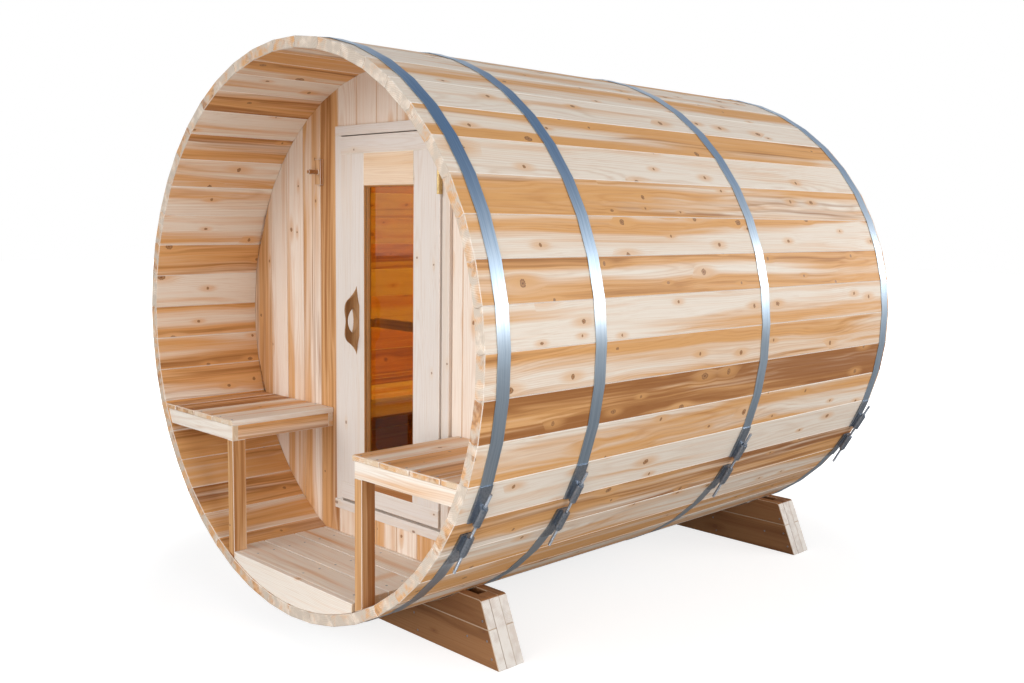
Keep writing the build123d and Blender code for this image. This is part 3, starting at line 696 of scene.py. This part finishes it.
def stave_mesh():
    """The closing stave turned to the top of the barrel's axis, as the pattern for all of them."""
    shape = solid_copy("stave_closing")
    ease_edges(shape, STAVE_EASE)
    turn = -(180 + (STAVE_COUNT - 0.5) * 360 / STAVE_COUNT)
    bmesh.ops.translate(shape, verts=shape.verts, vec=(0, 0, -AXIS_HEIGHT))
    bmesh.ops.rotate(shape, verts=shape.verts, matrix=Matrix.Rotation(math.radians(turn), 3, "Y"))
    place_layer = shape.verts.layers.float_vector.new("board_place")
    end_layer = shape.faces.layers.float.new("end_grain")
    eased_layer = shape.faces.layers.float.new("eased_edge")
    crown = max(v.co.z for v in shape.verts)
    for vert in shape.verts:
        vert[place_layer] = Vector((vert.co.y, vert.co.x, vert.co.z - crown))
    for face in shape.faces:
        face[end_layer] = 1.0 if abs(face.normal.y) > 0.7 else 0.0
        face[eased_layer] = float(face.material_index)
        face.material_index = 0
    return object_from(shape, "stave_pattern", STAVE_CEDAR)


def realize(tree, copies, material, leave):
    """Ends a geometry node tree: real copies with their material."""
    solid = add_node(tree, "GeometryNodeRealizeInstances", {"Geometry": copies}).outputs[0]
    finish = add_node(tree, "GeometryNodeSetMaterial", {"Geometry": solid, "Material": material})
    tree.links.new(finish.outputs[0], leave[0])


def staves_tree():
    """Geometry nodes: copies of a stave round the axis, each with its own tone and grain."""
    inputs = [
        ("Stave", GEOMETRY),
        ("Stave count", INTEGER),
        ("Axis height", FLOAT),
        ("Grain seed", INTEGER),
        ("Brown stave", INTEGER),
        ("Warm staves", INTEGER),
    ]
    outputs = [("Barrel", GEOMETRY)]
    tree, given, leave = new_group("staves_round_barrel", inputs, outputs, "GeometryNodeTree")
    start = combine(tree, z=given["Axis height"])
    line = {"Count": given["Stave count"], "Start Location": start, "Offset": (0, 0, 0)}
    points = add_node(tree, "GeometryNodeMeshLine", line).outputs[0]
    index = add_node(tree, "GeometryNodeInputIndex").outputs[0]
    step = math_node(tree, "DIVIDE", 2 * math.pi, given["Stave count"])
    turn = times_plus(tree, math_node(tree, "ADD", index, 0.5), step, math.pi)
    rotation = combine(tree, y=turn)
    placing = {"Points": points, "Instance": given["Stave"], "Rotation": rotation}
    copies = add_node(tree, "GeometryNodeInstanceOnPoints", placing).outputs[0]
    tone_range = {2: -0.28, 3: 0.28, "Seed": given["Grain seed"]}
    drawn = add_node(tree, "FunctionNodeRandomValue", tone_range, data_type="FLOAT").outputs[1]
    alternate = times_plus(tree, math_node(tree, "MODULO", index, 2.0), 0.34, 0.34)
    from_brown = math_node(tree, "ABSOLUTE", math_node(tree, "SUBTRACT", index, given["Brown stave"]))
    is_brown = math_node(tree, "LESS_THAN", from_brown, 0.5)
    # Warmer tones for the lowest staves on the left, partly painted warm shade low in the porch
    is_warm = math_node(tree, "LESS_THAN", index, given["Warm staves"])
    tone = times_plus(tree, is_warm, 0.22, math_node(tree, "ADD", drawn, alternate))
    tone = math_node(tree, "MAXIMUM", math_node(tree, "MINIMUM", tone, 0.84), is_brown)
    shift_range = {0: tuple(-most for most in GRAIN_SHIFT), 1: GRAIN_SHIFT, "Seed": given["Grain seed"]}
    shift = add_node(tree, "FunctionNodeRandomValue", shift_range, data_type="FLOAT_VECTOR").outputs[0]
    for name, value, kind in (("board_tone", tone, "FLOAT"), ("board_shift", shift, "FLOAT_VECTOR")):
        kept = {"Geometry": copies, "Name": name, "Value": value}
        kept = add_node(tree, "GeometryNodeStoreNamedAttribute", kept, data_type=kind, domain="INSTANCE")
        copies = kept.outputs[0]
    realize(tree, copies, STAVE_CEDAR, leave)
    return tree


def grown_piece(name, pattern, tree, values):
    """Runs a geometry node tree on a pattern object and keeps the result as a plain mesh."""
    modifier = pattern.modifiers.new("grow", "NODES")
    modifier.node_group = tree
    for socket in tree.interface.items_tree:
        if socket.name in values:
            modifier[socket.identifier] = values[socket.name]
    graph = bpy.context.evaluated_depsgraph_get()
    mesh = bpy.data.meshes.new_from_object(pattern.evaluated_get(graph))
    mesh.name = name
    bpy.data.objects.remove(pattern)
    piece = bpy.data.objects.new(name, mesh)
    bpy.context.scene.collection.objects.link(piece)
    return piece


stave_values = {
    "Stave count": STAVE_COUNT,
    "Axis height": AXIS_HEIGHT,
    "Grain seed": 11,
    "Brown stave": BROWN_STAVE,
    "Warm staves": WARM_STAVES,
}
barrel_staves = grown_piece("barrel_staves", stave_mesh(), staves_tree(), stave_values)
dress(barrel_staves, "cedar_stave", "staves_a", "staves_b", "stave_closing")


# Wall boards with chamfered joints, scribed to the grooves in the staves

def wall_board(shape, x0, x1, y0, y1, low, high):
    """One upright board from x0 to x1 whose ends follow low(x) and high(x)."""
    chamfer = WALL_CHAMFER
    outline = [
        (x0, y0 + chamfer),
        (x0 + chamfer, y0),
        (x1 - chamfer, y0),
        (x1, y0 + chamfer),
        (x1, y1 - chamfer),
        (x1 - chamfer, y1),
        (x0 + chamfer, y1),
        (x0, y1 - chamfer),
    ]
    bottom = [shape.verts.new((x, y, low(x))) for x, y in outline]
    top = [shape.verts.new((x, y, high(x))) for x, y in outline]
    shape.faces.new(bottom[::-1])
    shape.faces.new(top)
    for i in range(len(outline)):
        j = (i + 1) % len(outline)
        side = shape.faces.new((bottom[i], bottom[j], top[j], top[i]))
        # The chamfer faces are marked to take the eased edges' colour, which on the wall is painted shade in
        # the grooves
        side.material_index = 1 if i % 2 == 0 else 0


def board_edges(from_x, to_x):
    """Joints between two x positions, at the boards' pitch, without slivers at the ends."""
    sliver = 0.05
    first = math.ceil((from_x - WALL_JOINT) / WALL_BOARD_PITCH + sliver)
    last = math.floor((to_x - WALL_JOINT) / WALL_BOARD_PITCH - sliver)
    inner = [WALL_JOINT + i * WALL_BOARD_PITCH for i in range(first, last + 1)]
    return [from_x, *inner, to_x]


def wall_rows(shape, from_x, to_x, y0, y1, low, high):
    edges = board_edges(from_x, to_x)
    for x0, x1 in zip(edges, edges[1:]):
        wall_board(shape, x0, x1, y0, y1, low, high)


def arc_height(x):
    return math.sqrt(max(WALL_RADIUS ** 2 - x * x, 1e-6))


def arc_top(x):
    return AXIS_HEIGHT + arc_height(x)


def arc_bottom(x):
    return AXIS_HEIGHT - arc_height(x)


# Boards left of the door draw warmer tones, partly their heartwood and partly painted shade from a towel that
# is not modelled; boards over the door draw paler tones, partly painted light
WALL_TONES = {"left": (0.3, 1.0), "right": (-0.1, 0.5), "over_door": (-0.2, 0.3), "under_door": (0.2, 0.7)}
BACK_WALL_TONES = (0.1, 1.0)


def front_wall():
    """Boards left and right of the doorway, and over and under it."""
    shape = bmesh.new()
    opening_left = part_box("front_wall_over_door")[0][0]
    opening_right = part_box("front_wall_over_door")[1][0]
    head_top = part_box("front_wall_over_door")[0][2]
    sill_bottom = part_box("front_wall_under_door")[1][2]
    y0, y1 = wall_low[1], wall_high[1]
    kinds = []
    for from_x, to_x, low, high, part in (
        (-WALL_EDGE, opening_left, arc_bottom, arc_top, "left"),
        (opening_right, WALL_EDGE, arc_bottom, arc_top, "right"),
        (opening_left, opening_right, lambda x: head_top, arc_top, "over_door"),
        (opening_left, opening_right, arc_bottom, lambda x: sill_bottom, "under_door"),
    ):
        wall_rows(shape, from_x, to_x, y0, y1, low, high)
        kinds += [(ALONG_Z, WALL_TONES[part])] * (len(shape.verts) - len(kinds))
    shape.normal_update()
    write_grain(shape, kinds, "front wall")
    return object_from(shape, "front_wall_boards", WALL_CEDAR)


def back_wall():
    shape = bmesh.new()
    wall_rows(shape, -WALL_EDGE, WALL_EDGE, back_low[1], back_high[1], arc_bottom, arc_top)
    shape.normal_update()
    write_grain(shape, [(ALONG_Z, BACK_WALL_TONES)] * len(shape.verts), "back wall")
    return object_from(shape, "back_wall_boards", WALL_CEDAR)


dress(front_wall(), "cedar_wall", *(f"front_wall_{part}" for part in WALL_TONES))
dress(back_wall(), "cedar_wall", "back_wall")


# Hoops, bent smoothly round the staves
HOOPS = ("hoop_front", "hoop_porch", "hoop_middle", "hoop_back")
SHARP_CORNER = 30
for hoop in HOOPS:
    band = solid_copy(hoop)
    smooth_faces(band, SHARP_CORNER)
    dress(object_from(band, f"{hoop}_strap", HOOP_STEEL_SKY_TINTED), "galvanised_steel", hoop)


# Door furniture

HANDLE_CORNER = 32


def carved_handle():
    """The pull handle, smooth along its carved curves."""
    shape = solid_copy("door_handle")
    write_grain(shape, [(ALONG_Z, MIXED)] * len(shape.verts), "handle")
    smooth_faces(shape, HANDLE_CORNER)
    return object_from(shape, "carved_pull", HANDLE_WOOD)


dress(carved_handle(), "dark_wood", "door_handle", body="door")

GLASS_REBATE = 10 * MM
BEAD_EASE = 0.5 * MM
BEAD_SETBACK = 2 * MM
FRONT_BEAD_DEPTH = 11 * MM
FRONT_BEAD_THICKNESS = 3 * MM
BEAD_GAP = 2 * MM
BACK_BEAD_THICKNESS = 5 * MM
PANE_PLAY = 0.3 * MM


def add_bar(shape, low, high, ease):
    """A thin bar between two corners with its edges eased."""
    bar = bmesh.new()
    size = [b - a for a, b in zip(low, high)]
    middle = [(a + b) / 2 for a, b in zip(low, high)]
    bmesh.ops.create_cube(bar, size=1.0, matrix=Matrix.Translation(middle) @ Matrix.Diagonal((*size, 1.0)))
    ease_edges(bar, ease)
    join_into(shape, bar)


def glazing_beads():
    """Two thin steps of wood round the opening in front of the glass, coloured partly with painted shade of
    the reveal.
    """
    half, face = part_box("door_stile_right")[0][:2]
    glass_low, glass_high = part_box("door_glass")
    bottom, top = glass_low[2] + GLASS_REBATE, glass_high[2] - GLASS_REBATE
    front_bead = face + BEAD_SETBACK
    gap = front_bead + FRONT_BEAD_DEPTH
    shape = bmesh.new()
    kinds = []
    for front, back, thick in (
        (front_bead, gap, FRONT_BEAD_THICKNESS),
        (gap + BEAD_GAP, glass_low[1] - PANE_PLAY, BACK_BEAD_THICKNESS),
    ):
        for direction, low, high in (
            (ALONG_Z, (-half, front, bottom), (-half + thick, back, top)),
            (ALONG_Z, (half - thick, front, bottom), (half, back, top)),
            (ALONG_X, (-half + thick, front, bottom), (half - thick, back, bottom + thick)),
            (ALONG_X, (-half + thick, front, top - thick), (half - thick, back, top)),
        ):
            add_bar(shape, low, high, BEAD_EASE)
            kinds += [(direction, MIXED)] * (len(shape.verts) - len(kinds))
    write_grain(shape, kinds, "beads")
    return object_from(shape, "glazing_beads", BEAD_WOOD_AND_SHADE)


dress(glazing_beads(), "cedar_warm", body="door")


# Small steel parts, set by geometry nodes at points that each hold the way they face

def screw_pattern():
    """A countersunk screw head with a tapered round recess, facing up."""
    shape = bmesh.new()
    profile = ((4.0, -0.3), (4.0, 0.25), (3.3, 0.5), (1.7, 0.5), (1.3, -0.9))
    sides = 12
    loops = []
    for radius, height in profile:
        loop = []
        for i in range(sides):
            turn = 2 * math.pi * i / sides
            point = Vector((radius * math.cos(turn), radius * math.sin(turn), height))
            loop.append(shape.verts.new(point * MM))
        loops.append(loop)
    for lower, upper in zip(loops, loops[1:]):
        bridge(shape, lower, upper)
    shape.faces.new(loops[-1])
    shape.faces.new(loops[0][::-1])
    return object_from(shape, "screw_pattern", TENSIONER_STEEL)


def nut_pattern():
    """A chamfered hexagon nut on a washer, facing up, with a hole for the rod."""
    shape = bmesh.new()
    bore, washer, corner_radius, height = 5.6 * MM, 10.5 * MM, 9.4 * MM, 8.0 * MM
    washer_top, chamfer = 1.4 * MM, 0.8 * MM
    sides = 24
    # Radius, height and whether the loop is a hexagon
    outline = [
        (bore, 0.0, False),
        (washer, 0.0, False),
        (washer, washer_top, False),
        (corner_radius * 0.9, washer_top, True),
        (corner_radius, washer_top + chamfer, True),
        (corner_radius, height - chamfer, True),
        (corner_radius * 0.86, height, False),
        (bore, height, False),
    ]
    loops = []
    for radius, up, hexagon in outline:
        loop = []
        for i in range(sides):
            turn = 2 * math.pi * i / sides
            corner = (turn % (math.pi / 3)) - math.pi / 6
            reach = radius * math.cos(math.pi / 6) / math.cos(corner) if hexagon else radius
            loop.append(shape.verts.new((reach * math.cos(turn), reach * math.sin(turn), up)))
        loops.append(loop)
    for k in range(len(loops)):
        bridge(shape, loops[k], loops[(k + 1) % len(loops)])
    bmesh.ops.recalc_face_normals(shape, faces=shape.faces)
    return object_from(shape, "nut_pattern", TENSIONER_STEEL)


def hardware_tree():
    """Geometry nodes: a pattern set at every point, turned to face out, and spun by chance."""
    inputs = [("Points", GEOMETRY), ("Pattern", OBJECT), ("Finish", MATERIAL), ("Spin seed", INTEGER)]
    outputs = [("Hardware", GEOMETRY)]
    tree, given, leave = new_group("hardware_at_points", inputs, outputs, "GeometryNodeTree")
    named = add_node(tree, "GeometryNodeInputNamedAttribute", {"Name": "facing"}, data_type="FLOAT_VECTOR")
    facing = named.outputs[0]
    turned = add_node(tree, "FunctionNodeAlignRotationToVector", {"Vector": facing}, axis="Z").outputs[0]
    shape = add_node(tree, "GeometryNodeObjectInfo", {"Object": given["Pattern"]}).outputs["Geometry"]
    placing = {"Points": given["Points"], "Instance": shape, "Rotation": turned}
    placed = add_node(tree, "GeometryNodeInstanceOnPoints", placing).outputs[0]
    full_turn = {2: 0.0, 3: 2 * math.pi, "Seed": given["Spin seed"]}
    spin = add_node(tree, "FunctionNodeRandomValue", full_turn, data_type="FLOAT").outputs[1]
    turns = {"Instances": placed, "Rotation": combine(tree, z=spin)}
    spun = add_node(tree, "GeometryNodeRotateInstances", turns).outputs[0]
    realize(tree, spun, given["Finish"], leave)
    return tree


HARDWARE_TREE = hardware_tree()


def set_hardware(name, places, pattern):
    """One mesh of small steel parts at (point, facing) places."""
    shape = bmesh.new()
    facing_layer = shape.verts.layers.float_vector.new("facing")
    for point, facing in places:
        shape.verts.new(point)[facing_layer] = Vector(facing)
    points = object_from(shape, f"{name}_points", TENSIONER_STEEL)
    values = {"Pattern": pattern, "Finish": TENSIONER_STEEL, "Spin seed": 7}
    dress(grown_piece(name, points, HARDWARE_TREE, values), "galvanised_steel")


SLATS_PER_SEAT = 3
SLAT_PITCH = 144.7 * MM
FIRST_SLAT_MIDDLE = 69.85 * MM
SLAT_SCREW_REACH = 42 * MM
# How far the rows of screws are from a seat's front (above 0), back (below 0) or middle (0)
SCREW_ROWS = {"porch": (17 * MM, -11 * MM), "room": (11 * MM, 0, -11 * MM)}
JOIST_REACH = 300 * MM
NARROWEST_SCREWED_BOARD = 60 * MM


def seat_screws():
    """Two screws through each slat over every apron, cleat and bearer."""
    places = []
    for place, insets in SCREW_ROWS.items():
        for side, word in ((-1, "left"), (1, "right")):
            low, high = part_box(f"{place}_bench_{word}_seat")
            inner = high[0] if side < 0 else low[0]
            for i in range(SLATS_PER_SEAT):
                centre = abs(inner) + FIRST_SLAT_MIDDLE + i * SLAT_PITCH
                for across in (-SLAT_SCREW_REACH, SLAT_SCREW_REACH):
                    for inset in insets:
                        y = (low[1] + high[1]) / 2
                        if inset != 0:
                            y = (low[1] if inset > 0 else high[1]) + inset
                        places.append(((side * (centre + across), y, high[2]), (0, 0, 1)))
    return places


def floor_screws():
    """Two screws through each wide board of the porch floor over each of its three joists."""
    places = []
    for start, end in zip(floor_edges, floor_edges[1:]):
        width = end - start
        if width < NARROWEST_SCREWED_BOARD:
            continue
        for x in (-JOIST_REACH, 0, JOIST_REACH):
            for share in (0.25, 0.75):
                places.append(((x, start + width * share, floor_high[2]), (0, 0, 1)))
    return places


def cradle_screws():
    """Screws along the sloped end and beside the saddle, on both faces of each cradle."""
    spots = ((628, -919), (651, -981), (675, -1036), (554, -991), (273, -987), (294, -1046))
    places = []
    for end in ("front", "back"):
        low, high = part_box(f"cradle_{end}_plates")
        for side in (-1, 1):
            for x, z in spots:
                height = AXIS_HEIGHT + z * MM
                places.append(((side * x * MM, low[1], height), (0, -1, 0)))
                places.append(((side * x * MM, high[1], height), (0, 1, 0)))
    return places


SCREW = screw_pattern()
set_hardware("bench_screws", seat_screws(), SCREW)
set_hardware("floor_screws", floor_screws(), SCREW)
set_hardware("cradle_screws", cradle_screws(), SCREW)
bpy.data.objects.remove(SCREW)

# Tensioners: the threaded rods and the nuts at the outer ends of their tubes
TENSIONER_TURN = math.radians(-30.2)
ROD_LINE = 1008 * MM
ROD_RADIUS = 5.25 * MM
ROD_LENGTH = 313 * MM
ROD_SHIFT = -12 * MM
TUBE_END = 91.3 * MM
THREAD_PITCH = 2.5 * MM
THREAD_DEPTH = 1.0 * MM
OUTWARD = Vector((math.cos(TENSIONER_TURN), 0, math.sin(TENSIONER_TURN)))
UPWARD = Vector((-math.sin(TENSIONER_TURN), 0, math.cos(TENSIONER_TURN)))
HOOP_MIDDLES = []
for hoop in HOOPS:
    low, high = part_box(hoop)
    HOOP_MIDDLES.append((low[1] + high[1]) / 2)


def threaded_rods():
    """Four rods with a real helix of thread."""
    shape = bmesh.new()
    sides, steps_per_turn = 10, 4
    rows = int(ROD_LENGTH / THREAD_PITCH * steps_per_turn)
    for hoop_y in HOOP_MIDDLES:
        centre = Vector((0, hoop_y, AXIS_HEIGHT)) + OUTWARD * ROD_LINE
        last = None
        for row in range(rows + 1):
            along = ROD_SHIFT + ROD_LENGTH * (row / rows - 0.5)
            loop = []
            for i in range(sides):
                turn = 2 * math.pi * i / sides
                phase = (along / THREAD_PITCH - i / sides) % 1.0
                radius = ROD_RADIUS - THREAD_DEPTH * abs(2 * phase - 1)
                around = OUTWARD * math.cos(turn) + Vector((0, 1, 0)) * math.sin(turn)
                loop.append(shape.verts.new(centre + UPWARD * along + around * radius))
            if last is None:
                shape.faces.new(loop[::-1])
            else:
                bridge(shape, last, loop)
            last = loop
        shape.faces.new(last)
    bmesh.ops.recalc_face_normals(shape, faces=shape.faces)
    return object_from(shape, "threaded_rods", ROD_STEEL)


dress(threaded_rods(), "galvanised_steel", "tension_rods")
nut_places = []
for hoop_y in HOOP_MIDDLES:
    for side in (-1, 1):
        centre = Vector((0, hoop_y, AXIS_HEIGHT)) + OUTWARD * ROD_LINE + UPWARD * (side * TUBE_END)
        nut_places.append((centre, UPWARD * side))
NUT = nut_pattern()
set_hardware("tensioner_nuts", nut_places, NUT)
bpy.data.objects.remove(NUT)


# Finishes of the CAD nodes that stay as they are
for node, material in (
    ("hoop_lugs", TENSIONER_STEEL),
    ("frame_hinge_leaves", BRASS),
    ("door_hinge_leaves", BRASS),
    ("door_glass", BRONZE_GLASS),
):
    kept_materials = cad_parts[node].data.materials
    kept_materials.clear()
    kept_materials.append(material)


# Floor, background and lamps

FLOOR_REACH = 30.0
FLOOR_GREY = 0.42
NEAR_GLOW, FAR_GLOW = 0.75, 1.5
# One over the half width and half length of the oval that the floor stays grey in
GREY_OVAL = (1 / 2.4, 1 / 2.7, 0.0)


def studio_floor():
    """A pale floor that keeps the object's soft shadow and turns pure white away from it."""
    reach = FLOOR_REACH
    shape = bmesh.new()
    corners = [(-reach, -reach, 0), (reach, -reach, 0), (reach, reach, 0), (-reach, reach, 0)]
    shape.faces.new([shape.verts.new(corner) for corner in corners])
    material, tree, surface = blank_material("studio_floor")
    place = add_node(tree, "ShaderNodeTexCoord").outputs["Object"]
    away = vector_node(tree, "LENGTH", vector_node(tree, "MULTIPLY", place, GREY_OVAL))
    white = remap(tree, away, 0.55, 1.1, NEAR_GLOW, FAR_GLOW)
    seen = tree.nodes.new("ShaderNodeLightPath").outputs["Is Camera Ray"]
    surface.inputs["Base Color"].default_value = (FLOOR_GREY, FLOOR_GREY, FLOOR_GREY, 1)
    surface.inputs["Roughness"].default_value = 0.9
    surface.inputs["Specular IOR Level"].default_value = 0.0
    surface.inputs["Emission Color"].default_value = (1, 1, 1, 1)
    tree.links.new(times(tree, white, seen), surface.inputs["Emission Strength"])
    floor = object_from(shape, "studio_floor", material)


def studio_world(level, zenith):
    """White where it is seen or shines through glass, and soft light that darkens towards the zenith."""
    world = bpy.data.worlds.new("studio")
    bpy.context.scene.world = world
    world.use_nodes = True
    tree = world.node_tree
    tree.nodes.clear()
    direction = add_node(tree, "ShaderNodeTexCoord").outputs["Generated"]
    up = add_node(tree, "ShaderNodeSeparateXYZ", {0: direction}).outputs[2]
    path = tree.nodes.new("ShaderNodeLightPath").outputs
    soft = add_node(tree, "ShaderNodeBackground", {"Color": (0.95, 0.97, 1.0, 1)})
    tree.links.new(remap(tree, up, 0.05, 0.95, level, zenith), soft.inputs["Strength"])
    sky = blend_colour(tree, remap(tree, up, 0.10, 0.80), (1, 1, 1, 1), (0.12, 0.20, 0.32, 1))
    shine = add_node(tree, "ShaderNodeBackground", {"Color": sky, "Strength": 1.0})
    plain = add_node(tree, "ShaderNodeBackground", {"Color": (1, 1, 1, 1), "Strength": 1.0})
    lit = add_node(tree, "ShaderNodeMixShader", {0: path["Is Glossy Ray"]})
    tree.links.new(soft.outputs[0], lit.inputs[1])
    tree.links.new(shine.outputs[0], lit.inputs[2])
    clear = math_node(tree, "MAXIMUM", path["Is Camera Ray"], path["Is Transmission Ray"])
    result = add_node(tree, "ShaderNodeMixShader", {0: clear})
    tree.links.new(lit.outputs[0], result.inputs[1])
    tree.links.new(plain.outputs[0], result.inputs[2])
    output = tree.nodes.new("ShaderNodeOutputWorld")
    tree.links.new(result.outputs[0], output.inputs[0])


def aim_matrix(forward, up):
    """A basis that looks forward, as lamps and cameras do along their own -Z."""
    right = forward.cross(up).normalized()
    level_up = right.cross(forward)
    return Matrix((right, level_up, -forward)).transposed()


def place_in_scene(name, data, place, basis):
    """Sets a lamp or camera at a place, turned by a basis."""
    made = bpy.data.objects.new(name, data)
    made.matrix_world = Matrix.Translation(place) @ basis.to_4x4()
    bpy.context.scene.collection.objects.link(made)
    return made


def sun(name, toward, strength, softness):
    """A distant soft lamp that shines along a direction, with its softness in degrees."""
    data = bpy.data.lights.new(name, "SUN")
    data.energy = strength
    data.angle = math.radians(softness)
    place_in_scene(name, data, (0, 0, 0), aim_matrix(Vector(toward).normalized(), Vector((0, 0, 1))))


def area_lamp(name, place, toward, width, height, power, colour=(1.0, 1.0, 1.0)):
    """A rectangular soft lamp."""
    data = bpy.data.lights.new(name, "AREA")
    data.shape = "RECTANGLE"
    data.size = width
    data.size_y = height
    data.energy = power
    data.color = colour
    aim = (Vector(toward) - Vector(place)).normalized()
    up = Vector((0, 0, 1)) if abs(aim.z) < 0.99 else Vector((0, 1, 0))
    place_in_scene(name, data, place, aim_matrix(aim, up))


LAMPLIGHT = (1.0, 0.80, 0.55)
room_lamp_place = (0.0, 0.2, AXIS_HEIGHT + 0.85)
studio_floor()
studio_world(level=0.66, zenith=0.16)
sun("key", toward=(-0.95, 0.02, -0.30), strength=1.05, softness=30.0)
sun("fill", toward=(0.15, 0.85, -0.36), strength=1.30, softness=40.0)
area_lamp("strip", (4.6, 4.4, 2.4), (0.7, 0.2, 1.05), width=4.0, height=0.8, power=100.0)
area_lamp("porch_bounce", (1.6, -3.3, 0.75), (-0.75, -0.95, 1.35), width=2.4, height=0.6, power=31.0)
area_lamp("room_lamp", room_lamp_place, (0.0, 0.2, 0.0), 0.6, 0.6, power=20.0, colour=LAMPLIGHT)

# Camera, matched to the photograph's rims, hoops and cradles
CAMERA_PLACE = (3.10991, -3.17219, 1.47176)
CAMERA_YAW = 0.7926
CAMERA_PITCH = -0.1140
CAMERA_ROLL = 0.0138
CAMERA_LENS = 37.54


def photo_camera():
    level = math.cos(CAMERA_PITCH)
    forward = Vector((-math.sin(CAMERA_YAW) * level, math.cos(CAMERA_YAW) * level, math.sin(CAMERA_PITCH)))
    turn = Matrix.Rotation(-CAMERA_ROLL, 3, forward)
    data = bpy.data.cameras.new("photo_camera")
    data.lens = CAMERA_LENS
    data.sensor_width = 36.0
    data.clip_end = 200.0
    basis = turn @ aim_matrix(forward, Vector((0, 0, 1)))
    bpy.context.scene.camera = place_in_scene("photo_camera", data, CAMERA_PLACE, basis)


photo_camera()
bpy.context.scene.view_settings.view_transform = "Standard"
